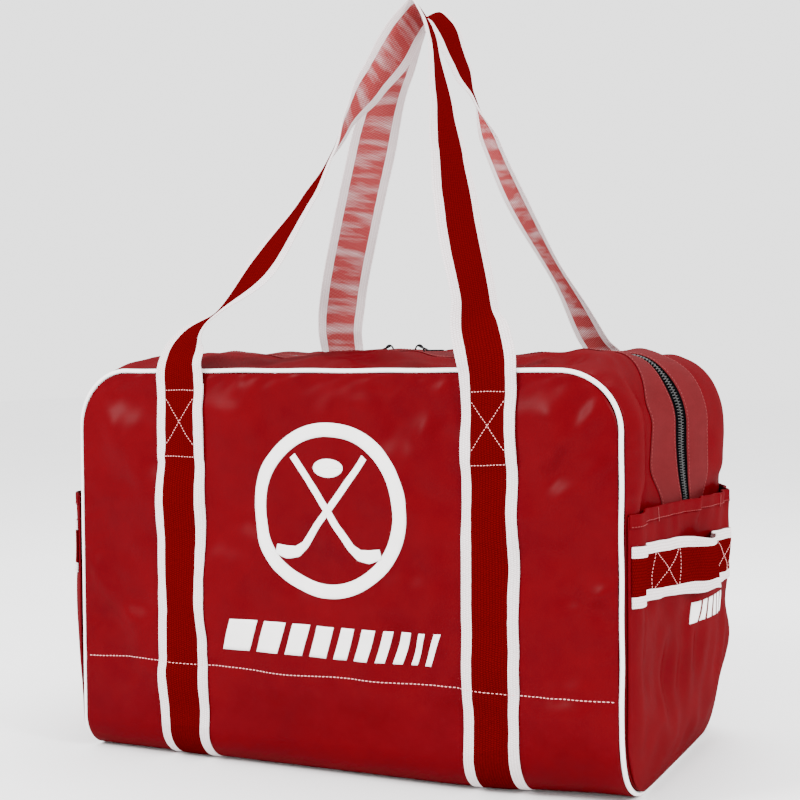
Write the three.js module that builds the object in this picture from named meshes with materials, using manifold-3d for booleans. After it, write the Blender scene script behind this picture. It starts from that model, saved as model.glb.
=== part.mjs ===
import * as THREE from "three";
import { mergeVertices } from "three/addons/utils/BufferGeometryUtils.js";
import Module from "manifold-3d";

// Hockey equipment bag in coated vinyl, standing on its base with both carry handles up.
// Millimetres. +Z is up, +X runs along the bag and -Y is its front. The origin is the middle of the base.

// Body of the bag
const bagLength = 666; // from the left end seam to the right one
const bagDepth = 410; // from the front panel to the rear panel
const seamHeight = 455; // top edge of the front and rear panels
const topRadius = 65; // top corners of the front and rear panels
const bottomRadius = 80; // where the front and rear turn under into the base
const turnHeight = 82; // where the front and rear panels meet the base panel
const vinyl = 3;
const baseThickness = 4.5; // vinyl and backing under the load
const liningThickness = 2;
const liningHeight = 115; // row of stitches that holds the lining, above the floor
const crown = 20; // rise of the top gusset between its two seams
const crownShape = 2.4; // exponent of that swell: a low one makes a dome
const endBulge = 24; // swell of the two ends
const endShape = 5; // exponent of that swell: a high one makes a flat face with round edges
const endShares = [-1, -0.95, -0.87, -0.75, -0.55, 0.55, 0.75, 0.87, 0.95, 1]; // places across an end
const gap = 0.3; // between pieces that lie on each other

// Zip along the top and down both ends
const facingEdge = 60; // outer edge of the facing strips, from the middle of the zip
const zipMouth = 8; // inner edge of the facing strips
const vinylEdge = 18; // inner edge of the vinyl under them
const facingThickness = 2.5;
const tapeThickness = 1.5;
const chainHalf = 5; // half the width of the closed teeth
const chainTop = 2; // teeth above the tape
const chainDepth = 1; // and below its upper face
const flapHalf = 266; // half the length of the part of the top that lifts
const flapGap = 2; // from the flap to the fixed corner of the gusset
const flapEdge = bagDepth / 2 - 8; // it lifts on the seam, about a line 1 mm outside this edge

// Zip sliders and their pulls, shown run together over the middle
const sliderLength = 24;
const sliderPlace = 14; // centre of a slider, from the middle of the zip
const sliderOutline = [[-7.6, 0.3], [-5.4, 0.3], [-5.4, 2.3], [7.4, 2.3], [7.4, 4.3], [-7.6, 4.3]];
const lug = { length: 6, width: 3, top: 8.5 }; // holds the pull
const pullPlace = 20; // pin of a pull, from the middle of the zip
const pullHeight = 6.5; // the same, above the tape
const pull = { length: 32, width: 9, thickness: 2, slotWidth: 3.6, slotEnd: 4, tail: 1.5 };

// Piping in the seams
const pipingRadius = 3;
const inset = 2 * pipingRadius + 2 * gap; // room that a seam takes from the pieces beside it
const bindingWidth = 12;
const bindingThickness = 1.5;

// Webbing
const webWidth = 63.5;
const webThickness = 2.5;
const bandPlace = 190.6; // centre of each band, from the middle of the bag
const bandTop = 443;
const sewnFrom = 355; // lower end of the handle where it is sewn over the band

// Ends
const gussetFoot = 305; // lower end of the gusset, above the floor
const pocketTop = 300;
const pocketRoom = 12; // room between the end panel and its pocket
const hemHeight = 13;
const hemThickness = 1.5;
const grabHeight = 243; // middle of the grab handle, above the floor
const grabHalf = 52; // half the length of the free part
const grabRoom = 24; // room for the fingers

// Carry handles. Each leg turns on the fold just above the part of it that is sewn down, about a
// line 1.65 mm in front of the middle of its thickness and 445 mm above the floor.
const legPlace = bagDepth / 2 + 2 * gap + webThickness * 1.5; // middle of the leg's thickness
const leanFrom = 464; // the legs rise straight to here, then lean to the middle
const apexPlace = 31.5; // middle of the webbing at the top, from the middle of the bag
const handlePath = [
  [-190.6, 447], [-190, 464], [-185, 495], [-162, 544], [-121, 594], [-85, 652], [-61, 709],
  [-43, 772], [-24, 828], [0, 872], [29, 892], [53, 873], [67, 828], [88, 763], [109, 698],
  [129, 627], [150, 557], [174, 495], [190, 464], [190.6, 447],
];
const apexHeight = 892;
const twist = [[0, 0], [0.06, 4], [0.24, 50], [0.42, 42], [0.66, 61], [0.88, 88], [1, 90]]; // degrees

const materials = {
  vinyl: { color: 0xb5070a, roughness: 0.38 },
  facing: { color: 0xb8484a, roughness: 0.6 },
  lining: { color: 0x5a0608, roughness: 0.7 },
  webbing: { color: 0x6c0507, roughness: 0.85 },
  piping: { color: 0xf2efee, roughness: 0.5 },
  binding: { color: 0x1c1c1e, roughness: 0.8 },
  zip: { color: 0x141416, roughness: 0.55 },
  metal: { color: 0x2c2c30, roughness: 0.35, metalness: 0.8 },
};

const wasm = await Module();
wasm.setup();

const root = new THREE.Group();

function add(name, geometry, finish) {
  const mesh = new THREE.Mesh(geometry, new THREE.MeshStandardMaterial(materials[finish]));
  mesh.name = name;
  root.add(mesh);
}

// Closed surface from points and triangles, turned so that its faces point out.
function closedSolid(points, triangles) {
  const across = new THREE.Vector3();
  let volume = 0;
  for (const [a, b, c] of triangles) {
    volume += across.crossVectors(points[a], points[b]).dot(points[c]);
  }
  const index = triangles.flatMap(([a, b, c]) => (volume < 0 ? [a, c, b] : [a, b, c]));
  const geometry = new THREE.BufferGeometry().setFromPoints(points);
  geometry.setIndex(index);
  geometry.computeVertexNormals();
  return geometry;
}

// Triangles that fill an outline, each taken the way the outline runs.
function filled(outline) {
  const faces = THREE.ShapeUtils.triangulateShape(outline, []);
  return THREE.ShapeUtils.isClockWise(outline) ? faces.map(([a, b, c]) => [a, c, b]) : faces;
}

// The same for an outline that runs out along one row of points and back along a row across from it.
function laddered(outline) {
  const last = outline.length - 1;
  const cells = outline.slice(1, outline.length / 2);
  return cells.flatMap((_, i) => [[i, i + 1, last - 1 - i], [i, last - 1 - i, last - i]]);
}

// Skin over a row of sections that all have the points of one outline. cap fills the two ends.
function loft(sections, outline, cap = filled(outline)) {
  const count = outline.length;
  const triangles = [];
  for (let i = 0; i + 1 < sections.length; i++) {
    for (let j = 0; j < count; j++) {
      const a = i * count + j;
      const b = i * count + ((j + 1) % count);
      triangles.push([a, b, b + count], [a, b + count, a + count]);
    }
  }
  const last = (sections.length - 1) * count;
  for (const [a, b, c] of cap) {
    triangles.push([a, c, b], [last + a, last + b, last + c]);
  }
  return closedSolid(sections.flat(), triangles);
}

// Outline of a strip through some places across it, its top at a height above the surface it follows.
function stripOutline(places, top, thickness) {
  const upper = places.map((y) => new THREE.Vector2(y, top));
  const lower = places.map((y) => new THREE.Vector2(y, top - thickness));
  return [...upper, ...lower.reverse()];
}

function circleOutline(radius, sides) {
  return Array.from({ length: sides }, (_, i) => {
    const angle = (2 * Math.PI * i) / sides;
    return new THREE.Vector2(radius * Math.cos(angle), radius * Math.sin(angle));
  });
}

function steps(from, to, count) {
  return Array.from({ length: count + 1 }, (_, i) => from + ((to - from) * i) / count);
}

// Line of the gusset seen from the front, by length from the middle of the top.
function gussetLine(length) {
  const s = Math.abs(length);
  const side = Math.sign(length);
  const straight = bagLength / 2 - topRadius;
  const arc = (Math.PI / 2) * topRadius;
  if (s <= straight) return { x: length, z: seamHeight, nx: 0, nz: 1, end: 0 };
  const angle = Math.min(s - straight, arc) / topRadius;
  const down = Math.max(s - straight - arc, 0);
  return {
    x: side * (straight + topRadius * Math.sin(angle)),
    z: seamHeight - topRadius + topRadius * Math.cos(angle) - down,
    nx: side * Math.sin(angle),
    nz: Math.cos(angle),
    end: Math.sin(angle),
  };
}

// Length along that line of a point on the vertical part, at a height above the floor.
function lengthAt(height) {
  const straight = bagLength / 2 - topRadius;
  return straight + (Math.PI / 2) * topRadius + seamHeight - topRadius - height;
}

// Share of the full swell, by place from the middle (0) to a seam (1 or -1).
function swell(share, exponent) {
  return 1 - Math.min(Math.abs(share), 1) ** exponent;
}

// Point of the gusset, by length, place across the bag and height above its outer surface.
function gussetPoint(length, y, above) {
  const line = gussetLine(length);
  const top = crown * swell((2 * y) / bagDepth, crownShape);
  const end = endBulge * swell((2 * y) / bagDepth, endShape);
  const out = THREE.MathUtils.lerp(top, end, line.end) + above;
  return new THREE.Vector3(line.x + line.nx * out, y, line.z + line.nz * out);
}

// Strip of the gusset. side is -1 for the front half and 1 for the rear half.
function gussetStrip(side, lengths, outline, cap = laddered(outline)) {
  const sections = lengths.map((s) => outline.map((p) => gussetPoint(s, side * p.x, p.y)));
  return loft(sections, outline, cap);
}

// Front or rear panel: flat, with round top corners, its lower edge on the base panel.
function sidePanel(side) {
  const half = bagLength / 2 - pipingRadius - 2 * gap;
  const top = seamHeight - pipingRadius - 2 * gap;
  const radius = topRadius - pipingRadius;
  const shape = new THREE.Shape();
  shape.moveTo(-half, turnHeight + gap);
  shape.lineTo(half, turnHeight + gap);
  shape.absarc(half - radius, top - radius, radius, 0, Math.PI / 2);
  shape.absarc(radius - half, top - radius, radius, Math.PI / 2, Math.PI);
  const panel = new THREE.ExtrudeGeometry(shape, { depth: vinyl, bevelEnabled: false, curveSegments: 8 });
  panel.rotateX(Math.PI / 2);
  return panel.translate(0, side < 0 ? vinyl - bagDepth / 2 : bagDepth / 2, 0);
}

// Line of the wrap seen from the end: down the front, under the base and up the rear.
function wrapLine(inset, height, arcCells) {
  const y = bagDepth / 2 - inset;
  const centre = { y: bagDepth / 2 - bottomRadius, z: bottomRadius };
  const radius = bottomRadius - inset;
  const turn = steps(0, Math.PI / 2, arcCells).map((angle) => [
    -centre.y - radius * Math.cos(angle), centre.z - radius * Math.sin(angle),
  ]);
  const front = [[-y, height], ...turn];
  const rear = front.map(([py, pz]) => [-py, pz]).reverse();
  return [...front, ...rear];
}

// Closed plate between two wrap lines, from one place along the bag to another.
function wrapPlate(outer, inner, from, to) {
  const outline = [...outer, ...[...inner].reverse()].map(([y, z]) => new THREE.Vector2(y, z));
  const sections = [from, to].map((x) => outline.map((p) => new THREE.Vector3(x, p.x, p.y)));
  return loft(sections, outline);
}

function toManifold(geometry) {
  const bare = new THREE.BufferGeometry().setAttribute("position", geometry.getAttribute("position"));
  bare.setIndex(geometry.index);
  const merged = mergeVertices(bare, 1e-4);
  const vertProperties = merged.getAttribute("position").array;
  const triVerts = new Uint32Array(merged.index.array);
  return new wasm.Manifold(new wasm.Mesh({ numProp: 3, vertProperties, triVerts }));
}

function fromManifold(solid) {
  const mesh = solid.getMesh();
  const geometry = new THREE.BufferGeometry();
  geometry.setAttribute("position", new THREE.BufferAttribute(mesh.vertProperties, 3));
  geometry.setIndex(new THREE.BufferAttribute(mesh.triVerts, 1));
  geometry.computeVertexNormals();
  return geometry;
}

// Line of a face of a band. It lies on the front, sinks into the base panel as it turns under,
// and is flush with the base below.
function bandLine(above, height) {
  const sink = webThickness + gap;
  const line = wrapLine(0, height, 8);
  const half = line.length / 2;
  return line.map(([y, z], i) => {
    const place = i < half ? i : line.length - 1 - i;
    const angle = place === 0 ? 0 : ((place - 1) / 8) * (Math.PI / 2);
    const out = above - sink * Math.sin(angle) ** 2;
    return [y + Math.sign(y) * out * Math.cos(angle), z - out * Math.sin(angle)];
  });
}

function band(place, spare) {
  const outer = bandLine(gap + webThickness + spare, bandTop);
  const inner = bandLine(gap - spare, bandTop);
  const half = webWidth / 2 + spare;
  return wrapPlate(outer, inner, place - half, place + half);
}

// Base panel, with a shallow channel pressed into it under each band.
function basePanel() {
  const half = bagLength / 2 - pipingRadius - 2 * gap;
  const outer = wrapLine(0, turnHeight, 8);
  const inner = wrapLine(baseThickness, turnHeight, 8);
  let solid = toManifold(wrapPlate(outer, inner, -half, half));
  for (const place of [-bandPlace, bandPlace]) {
    solid = solid.subtract(toManifold(band(place, gap)));
  }
  return fromManifold(solid);
}

function baseLining() {
  const half = bagLength / 2 - 3 * pipingRadius;
  const inset = baseThickness + gap;
  const outer = wrapLine(inset, liningHeight, 8);
  const inner = wrapLine(inset + liningThickness, liningHeight, 8);
  return wrapPlate(outer, inner, -half, half);
}

// Half the width of an end at a height above the floor, less an inset at the seam.
function endHalf(height, inset) {
  const radius = bottomRadius - inset;
  const drop = Math.max(bottomRadius - height, 0);
  return bagDepth / 2 - bottomRadius + Math.sqrt(Math.max(radius ** 2 - drop ** 2, 0));
}

// Outer surface of an end, from the middle of the bag, at a place across it and a height.
function endSurface(y, height) {
  const foot = Math.sin((Math.PI / 2) * Math.min(height / 150, 1));
  return bagLength / 2 + endBulge * swell((2 * y) / bagDepth, endShape) * foot;
}

// Panel over an end, swelling outwards. offset and room hold it off the end's surface.
function endSheet(side, heights, inset, offset, room, thickness) {
  const outline = stripOutline(endShares, 1, 1);
  const sections = heights.map((z) => {
    const half = endHalf(z, inset);
    const fill = room * Math.sin((Math.PI / 2) * Math.min(z / 120, 1));
    return outline.map((p) => {
      const y = p.x * half;
      const x = endSurface(y, z) + offset + fill * swell(p.x, endShape) + thickness * (p.y - 1);
      return new THREE.Vector3(side * x, y, z);
    });
  });
  return loft(sections, outline, laddered(outline));
}

// Webbing handle across a pocket: flat on it at both ends and free in the middle.
function grabHandle(side) {
  const outline = stripOutline([-webWidth / 2, webWidth / 2], 1, 1);
  const reach = bagDepth / 2 - 3 * pipingRadius;
  const sections = steps(-reach, reach, 34).map((y) => {
    const free = Math.cos((Math.PI / 2) * Math.min(Math.abs(y) / grabHalf, 1)) ** 1.5;
    return outline.map((p) => {
      const z = grabHeight + p.x;
      const under = vinyl + gap + pocketRoom * swell(y / endHalf(z, inset), endShape) + gap;
      const x = endSurface(y, z) + under + grabRoom * free + webThickness * p.y;
      return new THREE.Vector3(side * x, y, z);
    });
  });
  return loft(sections, outline);
}

// Round cord along a line that lies in one plane.
function cord(points, planeNormal, radius, sides) {
  const outline = circleOutline(radius, sides);
  const sections = points.map((point, i) => {
    const ahead = points[Math.min(i + 1, points.length - 1)];
    const behind = points[Math.max(i - 1, 0)];
    const along = ahead.clone().sub(behind).normalize();
    const across = along.cross(planeNormal);
    return outline.map((p) => point.clone().addScaledVector(across, p.x).addScaledVector(planeNormal, p.y));
  });
  return loft(sections, outline);
}

// Lengths along the gusset line from one foot of the arch to the other, close together on the corners.
function archLengths(foot) {
  const straight = bagLength / 2 - topRadius;
  const arc = (Math.PI / 2) * topRadius;
  const right = [...steps(straight, straight + arc, 8), lengthAt(foot)];
  return [...right.map((s) => -s).reverse(), ...right];
}

// Piping up one edge of a side panel, over its top and down the other edge.
function archPiping(side) {
  const points = archLengths(turnHeight + gap).map((s) => {
    const line = gussetLine(s);
    const y = side * (bagDepth / 2 - pipingRadius);
    return new THREE.Vector3(line.x - line.nx * gap, y, line.z - line.nz * gap);
  });
  return cord(points, new THREE.Vector3(0, 1, 0), pipingRadius, 8);
}

// Piping round the lower edge of an end.
function endPiping(side) {
  const line = wrapLine(pipingRadius, turnHeight, 8);
  const points = line.map(([y, z]) => new THREE.Vector3(side * (bagLength / 2 - gap), y, z));
  return cord(points, new THREE.Vector3(1, 0, 0), pipingRadius, 8);
}

// Tape that binds the raw edges of a seam, inside the bag.
function binding(side) {
  const face = bagDepth / 2 - vinyl - gap;
  const outline = [
    [face, -inset], [face, -inset - bindingWidth],
    [face - bindingThickness, -inset - bindingWidth], [face - bindingThickness, -inset],
  ].map(([y, above]) => new THREE.Vector2(y, above));
  const sections = archLengths(liningHeight + 5).map((s) => {
    const line = gussetLine(s);
    return outline.map(
      (p) => new THREE.Vector3(line.x + line.nx * p.y, side * p.x, line.z + line.nz * p.y),
    );
  });
  return loft(sections, outline);
}

// Teeth of one half of the zip, or the tapes and both halves where the zip stays shut.
function chainOutline() {
  return [
    [-vinylEdge + gap, -tapeThickness], [vinylEdge - gap, -tapeThickness], [vinylEdge - gap, 0],
    [chainHalf, 0], [chainHalf, chainTop], [-chainHalf, chainTop], [-chainHalf, 0], [-vinylEdge + gap, 0],
  ].map(([y, above]) => new THREE.Vector2(y, above));
}

// Half of the top that lifts: vinyl, facing strip, zip tape and teeth.
function flap(side, name) {
  const lengths = [-flapHalf, flapHalf];
  const facing = stripOutline(steps(zipMouth, facingEdge, 3), gap + facingThickness, facingThickness);
  const tape = stripOutline([chainHalf + gap, vinylEdge - gap], 0, tapeThickness);
  const teeth = stripOutline([gap, chainHalf], chainTop, chainTop + chainDepth);
  const skin = stripOutline(steps(vinylEdge, flapEdge, 8), 0, vinyl);
  add(name + "_top_gusset", gussetStrip(side, lengths, skin), "vinyl");
  add(name + "_top_facing", gussetStrip(side, lengths, facing), "facing");
  add(name + "_zip_tape", gussetStrip(side, lengths, tape), "zip");
  add(name + "_zip_teeth", gussetStrip(side, lengths, teeth), "zip");
}

// Corner and end of the gusset on one side of the zip.
function gussetEnd(endSide, side, name) {
  const lengths = steps(flapHalf + flapGap, lengthAt(gussetFoot), 11).map((s) => endSide * s);
  const facing = stripOutline(steps(zipMouth, facingEdge, 3), gap + facingThickness, facingThickness);
  const edge = bagDepth / 2 - inset;
  const skin = stripOutline([vinylEdge, 0.55 * edge, 0.75 * edge, 0.87 * edge, edge], 0, vinyl);
  add(name + "_end_gusset", gussetStrip(side, lengths, skin), "vinyl");
  add(name + "_end_facing", gussetStrip(side, lengths, facing), "facing");
}

function zipEnd(endSide) {
  const lengths = steps(flapHalf + flapGap, lengthAt(gussetFoot), 11).map((s) => endSide * s);
  const outline = chainOutline();
  return gussetStrip(1, lengths, outline, filled(outline));
}

// Slider: a plate over the teeth with a guide on the front side and a lug for the pull.
function slider(side) {
  const outline = sliderOutline.map(([y, above]) => new THREE.Vector2(y, seamHeight + crown + above));
  const ends = [-sliderLength / 2, sliderLength / 2].map((x) => x + side * sliderPlace);
  const plate = loft(ends.map((x) => outline.map((p) => new THREE.Vector3(x, p.x, p.y))), outline);
  const base = sliderOutline[3][1] + 1;
  const post = new THREE.BoxGeometry(lug.length, lug.width, lug.top - base);
  post.translate(side * pullPlace, 0, seamHeight + crown + (lug.top + base) / 2);
  return fromManifold(toManifold(plate).add(toManifold(post)));
}

// Pull: a flat tab, forked round the lug of its slider.
function pullTab(side) {
  const half = pull.width / 2;
  const slot = pull.slotWidth / 2;
  const corner = 3;
  const shape = new THREE.Shape();
  shape.moveTo(-pull.tail, slot);
  shape.lineTo(pull.slotEnd, slot);
  shape.lineTo(pull.slotEnd, -slot);
  shape.lineTo(-pull.tail, -slot);
  shape.lineTo(-pull.tail, -half);
  shape.lineTo(pull.length - corner, -half);
  shape.absarc(pull.length - corner, corner - half, corner, -Math.PI / 2, 0);
  shape.absarc(pull.length - corner, half - corner, corner, 0, Math.PI / 2);
  shape.lineTo(-pull.tail, half);
  const tab = new THREE.ExtrudeGeometry(shape, { depth: pull.thickness, bevelEnabled: false, curveSegments: 3 });
  tab.rotateZ(side < 0 ? Math.PI : 0);
  return tab.translate(side * pullPlace, 0, seamHeight + crown + pullHeight - pull.thickness / 2);
}

// Turn of the webbing about its own line, in degrees, by share of a leg from the bag to the top.
function twistAt(share) {
  const next = Math.max(1, twist.findIndex(([place]) => place >= share));
  const [from, start] = twist[next - 1];
  const [to, end] = twist[next];
  return THREE.MathUtils.lerp(start, end, THREE.MathUtils.smoothstep(share, from, to));
}

// Carry handle: flat on the bag at its feet, and turned edge-on to the front over its top.
function carryHandle(side) {
  const rise = apexHeight - leanFrom;
  const places = handlePath.map(([x, z]) => {
    const y = legPlace - (legPlace - apexPlace) * (Math.max(z - leanFrom, 0) / rise);
    return new THREE.Vector3(x, -y, z);
  });
  const curve = new THREE.CatmullRomCurve3(places, false, "centripetal");
  const shares = steps(0, 1, 48);
  const heights = shares.map((u) => curve.getPointAt(u).z);
  const top = shares[heights.indexOf(Math.max(...heights))];
  const lean = Math.atan((legPlace - apexPlace) / rise);
  const face = new THREE.Vector3(0, -Math.cos(lean), Math.sin(lean));
  const outline = stripOutline([-webWidth / 2, webWidth / 2], webThickness / 2, webThickness);
  const sections = shares.map((u) => {
    const share = u < top ? u / top : (1 - u) / (1 - top);
    const angle = THREE.MathUtils.degToRad(twistAt(share));
    const along = curve.getTangentAt(u);
    const outward = face.clone().cross(along);
    const normal = face.clone().multiplyScalar(Math.cos(angle)).addScaledVector(outward, Math.sin(angle));
    normal.addScaledVector(along, -normal.dot(along)).normalize();
    const across = along.clone().cross(normal);
    const centre = curve.getPointAt(u);
    return outline.map((p) => {
      const point = centre.clone().addScaledVector(across, p.x).addScaledVector(normal, p.y);
      return new THREE.Vector3(point.x, -side * point.y, point.z);
    });
  });
  return loft(sections, outline);
}

// End of a carry handle, sewn flat over the band.
function handleFoot(side, place) {
  const height = bandTop - sewnFrom;
  const foot = new THREE.BoxGeometry(webWidth, webThickness, height);
  return foot.translate(place, side * legPlace, sewnFrom + height / 2);
}

add("base_panel", basePanel(), "vinyl");
add("base_lining", baseLining(), "lining");
for (const [name, side] of [["front", -1], ["rear", 1]]) {
  add(name + "_panel", sidePanel(side), "vinyl");
  add(name + "_piping", archPiping(side), "piping");
  add(name + "_seam_binding", binding(side), "binding");
  flap(side, name);
  add(name + "_handle", carryHandle(side), "webbing");
  add(name + "_handle_foot_left", handleFoot(side, -bandPlace), "webbing");
  add(name + "_handle_foot_right", handleFoot(side, bandPlace), "webbing");
  gussetEnd(-1, side, "left_" + name);
  gussetEnd(1, side, "right_" + name);
}
const endHeights = [8, 16, 28, 44, 64, 90, 120, 150, 300];
for (const [name, side] of [["left", -1], ["right", 1]]) {
  add(name + "_band", band(side * bandPlace, 0), "webbing");
  add(name + "_end_panel", endSheet(side, endHeights, inset, 0, 0, vinyl), "vinyl");
  add(name + "_pocket", endSheet(side, endHeights.slice(1), inset, gap + vinyl, pocketRoom, vinyl), "vinyl");
  const hem = [pocketTop - hemHeight, pocketTop];
  const hemPlace = 2 * gap + vinyl + hemThickness;
  add(name + "_pocket_hem", endSheet(side, hem, inset, hemPlace, pocketRoom, hemThickness), "vinyl");
  add(name + "_grab_handle", grabHandle(side), "webbing");
  add(name + "_end_piping", endPiping(side), "piping");
  add(name + "_zip_end", zipEnd(side), "zip");
  add(name + "_slider", slider(side), "metal");
  add(name + "_pull", pullTab(side), "metal");
}

export default root;
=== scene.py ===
"""Looks of a hockey equipment bag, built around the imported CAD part.

Metres. +X runs along the bag, -Y is its front and +Z is up. The base stands on z = 0.
"""

import logging
from collections.abc import Callable, Sequence
from dataclasses import dataclass, field
from enum import Enum
from typing import ClassVar

import bpy
import numpy as np
from mathutils import Matrix, Vector


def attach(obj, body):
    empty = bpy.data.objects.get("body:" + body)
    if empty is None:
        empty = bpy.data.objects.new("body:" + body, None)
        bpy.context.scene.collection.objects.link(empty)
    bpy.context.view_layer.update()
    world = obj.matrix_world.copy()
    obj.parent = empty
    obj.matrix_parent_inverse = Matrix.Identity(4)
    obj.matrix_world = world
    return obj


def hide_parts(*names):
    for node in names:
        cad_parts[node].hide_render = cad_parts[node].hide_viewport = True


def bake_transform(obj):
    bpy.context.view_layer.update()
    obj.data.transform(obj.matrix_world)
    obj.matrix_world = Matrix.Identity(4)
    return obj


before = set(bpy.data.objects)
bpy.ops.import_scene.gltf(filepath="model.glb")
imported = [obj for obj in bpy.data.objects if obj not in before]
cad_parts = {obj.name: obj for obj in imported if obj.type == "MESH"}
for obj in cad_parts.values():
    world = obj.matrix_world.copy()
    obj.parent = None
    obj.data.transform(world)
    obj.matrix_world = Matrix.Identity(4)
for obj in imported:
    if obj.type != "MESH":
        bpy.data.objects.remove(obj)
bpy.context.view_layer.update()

LOG = logging.getLogger("equipment_bag")
Array = np.ndarray
INK_TOP = 0.00045  # heights of the print's two faces over the vinyl
INK_FOOT = -0.0002
Place = Callable[[Array, Array, Array], Array]  # (along, across, above the surface) to points


class Face(Enum):
    """Long side of the bag, by the sign of its Y."""

    FRONT = -1
    REAR = 1


class End(Enum):
    """Short side of the bag, by the sign of its X."""

    LEFT = -1
    RIGHT = 1


# ---------------------------------------------------------------- shapes worked out as arrays


def smooth(value: Array, start: float, end: float) -> Array:
    """Cubic step 3t^2 - 2t^3, where t runs from 0 at start to 1 at end.

    Args:
        value: numbers to map.
        start: value that gives 0.
        end: value that gives 1.

    Returns:
        The step, the same shape as value.
    """
    t = np.clip((value - start) / (end - start), 0.0, 1.0)
    return t * t * (3.0 - 2.0 * t)


def ripple(p: Array, q: Array, size: float, seed: int, waves: int = 14) -> Array:
    """Soft random relief: the mean of cosines that run in every direction, about size apart.

    Args:
        p: first coordinate over the cloth.
        q: second coordinate over the cloth.
        size: usual distance between crests.
        seed: seed of the directions and phases.
        waves: how many cosines are added.

    Returns:
        Relief of about -1 to 1.
    """
    draw = np.random.default_rng(seed)
    turn = draw.uniform(0, 2 * np.pi, waves)
    pitch = 2 * np.pi / (size * draw.uniform(0.7, 1.5, waves))
    phase = draw.uniform(0, 2 * np.pi, waves)
    total = np.zeros(np.broadcast(p, q).shape)
    for angle, k, shift in zip(turn, pitch, phase, strict=True):
        total = total + np.cos(k * (np.cos(angle) * p + np.sin(angle) * q) + shift)
    return total * np.sqrt(2.0 / waves) * 0.7


def unit(vectors: Array) -> Array:
    """Vectors divided by their own length, along the last axis."""
    return vectors / np.linalg.norm(vectors, axis=-1, keepdims=True)


def tangents(path: Array, loop: bool = False) -> Array:
    """Unit tangents of a path: the step between each point's two neighbours."""
    if loop:
        return unit(np.roll(path, -1, axis=0) - np.roll(path, 1, axis=0))
    return unit(np.gradient(path, axis=0))


def crease(p: Array, q: Array, line: tuple[float, ...]) -> Array:
    """One fold: a bell across a line, that fades at both of its ends.

    Args:
        p: first coordinate over the cloth.
        q: second coordinate over the cloth.
        line: (p0, q0, p1, q1, width, height) of the fold.

    Returns:
        height x exp(-(distance / width)^2) x a fade along the line.
    """
    p0, q0, p1, q1, width, height = line
    length = np.hypot(p1 - p0, q1 - q0)
    along = ((p - p0) * (p1 - p0) + (q - q0) * (q1 - q0)) / length**2
    aside = ((p - p0) * (q1 - q0) - (q - q0) * (p1 - p0)) / length
    fade = smooth(along, -0.25, 0.25) * smooth(along, 1.25, 0.75)
    return height * np.exp(-((aside / width) ** 2)) * fade


@dataclass
class Patch:
    """Cloth panel as a grid of points, read by its own two coordinates.

    Attributes:
        a: coordinates of the rows, rising.
        b: coordinates of the columns, rising.
        points: (rows, columns, 3) places.
        sign: 1 or -1, so that the normals point out of the bag.
    """

    a: Array
    b: Array
    points: Array
    sign: float = 1.0
    normals: Array = field(init=False)

    def __post_init__(self) -> None:
        """Works out the normals."""
        self.face_out()

    def face_out(self) -> None:
        """Unit normals: the cross product of the grid's two slopes."""
        across = np.cross(
            np.gradient(self.points, self.a, axis=0), np.gradient(self.points, self.b, axis=1)
        )
        length = np.linalg.norm(across, axis=-1, keepdims=True)
        self.normals = self.sign * across / np.maximum(length, 1e-12)

    def at(self, a: Array, b: Array, above: Array | float = 0.0) -> Array:
        """Point at coordinates (a, b), that far above the cloth, by bilinear mixing of the grid.

        Args:
            a: row coordinates.
            b: column coordinates.
            above: distance along the normal.

        Returns:
            (..., 3) points.
        """
        a, b, above = np.broadcast_arrays(a, b, above)
        i = np.interp(a, self.a, np.arange(len(self.a)))
        j = np.interp(b, self.b, np.arange(len(self.b)))
        i0 = np.clip(i.astype(int), 0, len(self.a) - 2)
        j0 = np.clip(j.astype(int), 0, len(self.b) - 2)
        u, v = (i - i0)[..., None], (j - j0)[..., None]

        def mixed(grid: Array) -> Array:
            """Mix of the four corners of each cell."""
            low = grid[i0, j0] * (1 - v) + grid[i0, j0 + 1] * v
            high = grid[i0 + 1, j0] * (1 - v) + grid[i0 + 1, j0 + 1] * v
            return low * (1 - u) + high * u

        return mixed(self.points) + unit(mixed(self.normals)) * above[..., None]

    def swell(self, height: Array) -> None:
        """Moves each grid point along its normal by height."""
        self.points = self.points + self.normals * height[..., None]
        self.face_out()


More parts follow.
